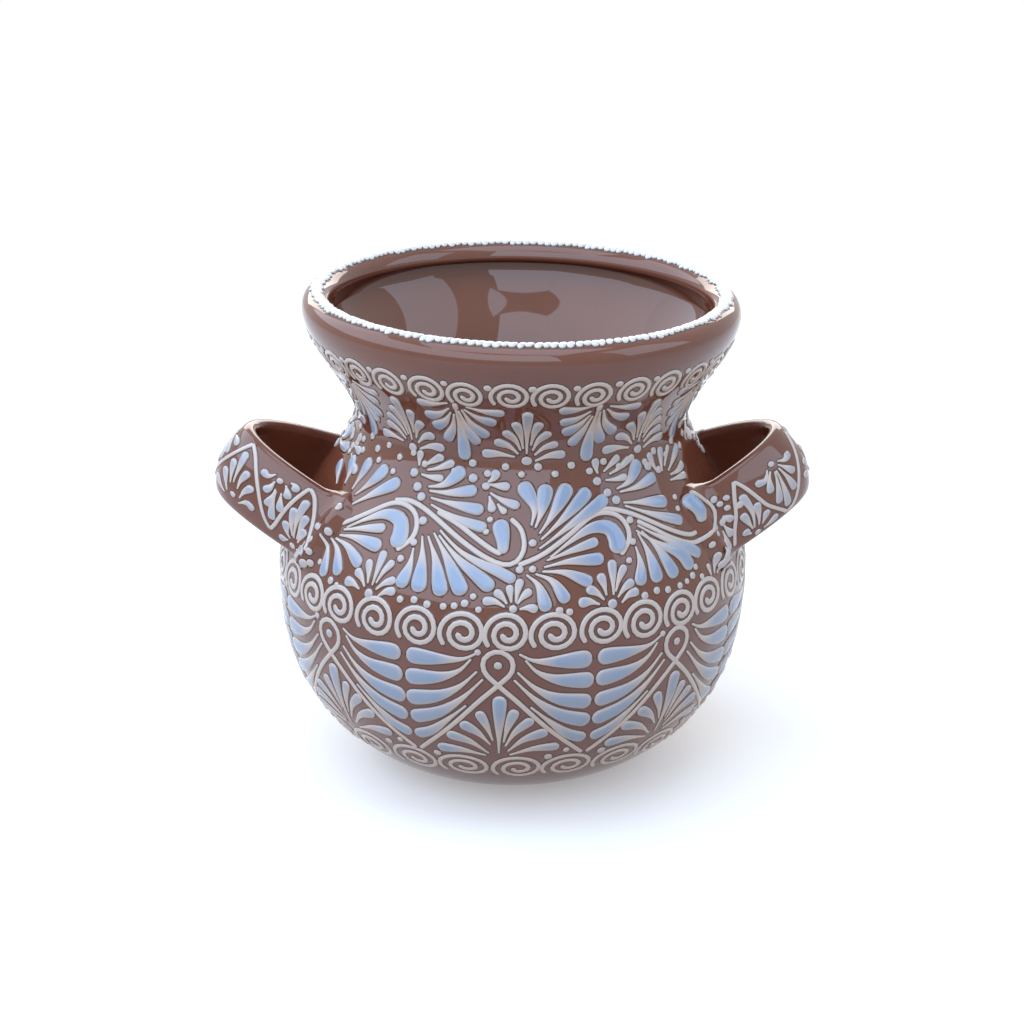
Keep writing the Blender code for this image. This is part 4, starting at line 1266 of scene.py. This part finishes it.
clay_material = clay_finish()
slip_material = slip_finish("white slip under glaze", SLIP_THIN, SLIP_THICK_PAINTED_SKY)
# The rim beads get one even cream in both places, a painted sunlit highlight, in place of the slip's
# own colours.
rim_sunlit_material = slip_finish("rim slip painted sunlit", RIM_SLIP_PAINTED_SUNLIT, RIM_SLIP_PAINTED_SUNLIT)
clay_pieces = (pot, left_handle, right_handle)
for piece in clay_pieces:
    piece.data.materials.append(clay_material)
slip_pieces = (
    neck_scrolls, belly_scrolls, foot_scrolls, neck_palmettes, belly_ornament, shoulder_plant,
    neck_dots, left_zigzag, right_zigzag,
)
for piece in slip_pieces:
    piece.data.materials.append(slip_material)
rim_beads.data.materials.append(rim_sunlit_material)
print("finishes on", len(clay_pieces) + len(slip_pieces) + 1, "pieces")

# %% [markdown]
# ## Floor and light
# A glossy glaze shows whatever light is round it. Five tall, cool sheets of light stand in front and
# at the sides like a low sky, one more hangs overhead, and a low warm lamp behind lights the edges.
# Floor and backdrop are white to the camera and in the glaze. To all other rays the floor is a warm
# earth colour, which warms the underside of the belly, and it keeps the pot's shadow.

# %% Floor
FLOOR_SIZE = 4.4
FLOOR_GLOW = 0.30
FLOOR_WHITE = (0.80, 0.80, 0.80, 1.0)
FLOOR_EARTH = (0.54, 0.40, 0.29, 1.0)
PURE_WHITE = (1.0, 1.0, 1.0, 1.0)
deselect_everything()
bpy.ops.mesh.primitive_plane_add(size=FLOOR_SIZE, location=(0, 0, 0))
floor = bpy.context.object
floor.name = "floor"
floor_finish = Finish("pale floor")


def background_ray(tree):
    """A socket that is 1 for rays that show the background, seen or mirrored."""
    ray = tree.nodes.new("ShaderNodeLightPath")
    shown_by = ray.outputs["Is Camera Ray"]
    for title in ("Is Glossy Ray", "Is Transmission Ray"):
        larger = tree.nodes.new("ShaderNodeMath")
        larger.operation = "MAXIMUM"
        tree.links.new(shown_by, larger.inputs[0])
        tree.links.new(ray.outputs[title], larger.inputs[1])
        shown_by = larger.outputs[0]
    return shown_by


seen = Wire(floor_finish, background_ray(floor_finish.tree))
glow = floor_finish.node("ShaderNodeEmission", {}, {"Color": PURE_WHITE, "Strength": FLOOR_GLOW})
matt = floor_finish.node("ShaderNodeBsdfDiffuse", {}, {"Color": FLOOR_WHITE})
bright = floor_finish.node("ShaderNodeAddShader", {}, {0: glow, 1: matt})
earth = floor_finish.node("ShaderNodeBsdfDiffuse", {}, {"Color": FLOOR_EARTH})
both = floor_finish.node("ShaderNodeMixShader", {}, {0: seen, 1: earth, 2: bright})
output = floor_finish.tree.nodes["Material Output"]
floor_finish.tree.links.new(both.socket, output.inputs["Surface"])
floor.data.materials.append(floor_finish.material)
print("floor", FLOOR_SIZE, "m square")


# %% Lamps and backdrop
def soft_lamp(name, place, target, size, radiance, colour):
    """A rectangle of light at a place, turned to a target, as bright per area as radiance says."""
    lamp = bpy.data.lights.new(name, "AREA")
    lamp.shape = "RECTANGLE"
    lamp.size, lamp.size_y = size
    lamp.energy = math.pi * size[0] * size[1] * radiance
    lamp.color = colour
    made = bpy.data.objects.new(name, lamp)
    made.location = place
    way = np.array(target) - np.array(place)
    flat = math.hypot(way[0], way[1])
    made.rotation_euler = (math.atan2(flat, -way[2]), 0.0, math.atan2(-way[0], way[1]))
    bpy.context.collection.objects.link(made)


SKY_TINT = (0.62, 0.78, 1.0)
SKY_DISTANCE = 2.6
SKY_MIDDLE = 2.4
SKY_SIZE = (1.94, 2.8)
SKY_SHEETS = ((-123, 2.2), (-82, 2.5), (-41, 2.5), (0, 2.5), (76, 1.85))
WARM_TINT = (1.0, 0.95, 0.88)
WORLD_TINT = (1.0, 0.94, 0.88, 1.0)
WORLD_STRENGTH = 0.34
for bearing, radiance in SKY_SHEETS:
    turn = math.radians(bearing)
    place = (SKY_DISTANCE * math.sin(turn), -SKY_DISTANCE * math.cos(turn), SKY_MIDDLE)
    soft_lamp(f"sky {bearing}", place, (0.0, 0.0, SKY_MIDDLE), SKY_SIZE, radiance, SKY_TINT)
soft_lamp(
    "overhead", place=(-0.1, -0.35, 2.4), target=(0.0, 0.0, 0.1), size=(2.2, 1.7),
    radiance=2.3, colour=SKY_TINT,
)
soft_lamp(
    "behind", place=(0.0, 2.6, 1.25), target=(0.0, 0.0, 0.2), size=(3.4, 1.1),
    radiance=3.6, colour=WARM_TINT,
)
world = bpy.data.worlds.new("studio")
world.use_nodes = True
tree = world.node_tree
around = tree.nodes["Background"]
around.inputs["Color"].default_value = WORLD_TINT
around.inputs["Strength"].default_value = WORLD_STRENGTH
backdrop = tree.nodes.new("ShaderNodeBackground")
backdrop.inputs["Color"].default_value = PURE_WHITE
choice = tree.nodes.new("ShaderNodeMixShader")
tree.links.new(background_ray(tree), choice.inputs[0])
tree.links.new(around.outputs[0], choice.inputs[1])
tree.links.new(backdrop.outputs[0], choice.inputs[2])
tree.links.new(choice.outputs[0], tree.nodes["World Output"].inputs["Surface"])
bpy.context.scene.world = world
print("lamps", len(bpy.data.lights))
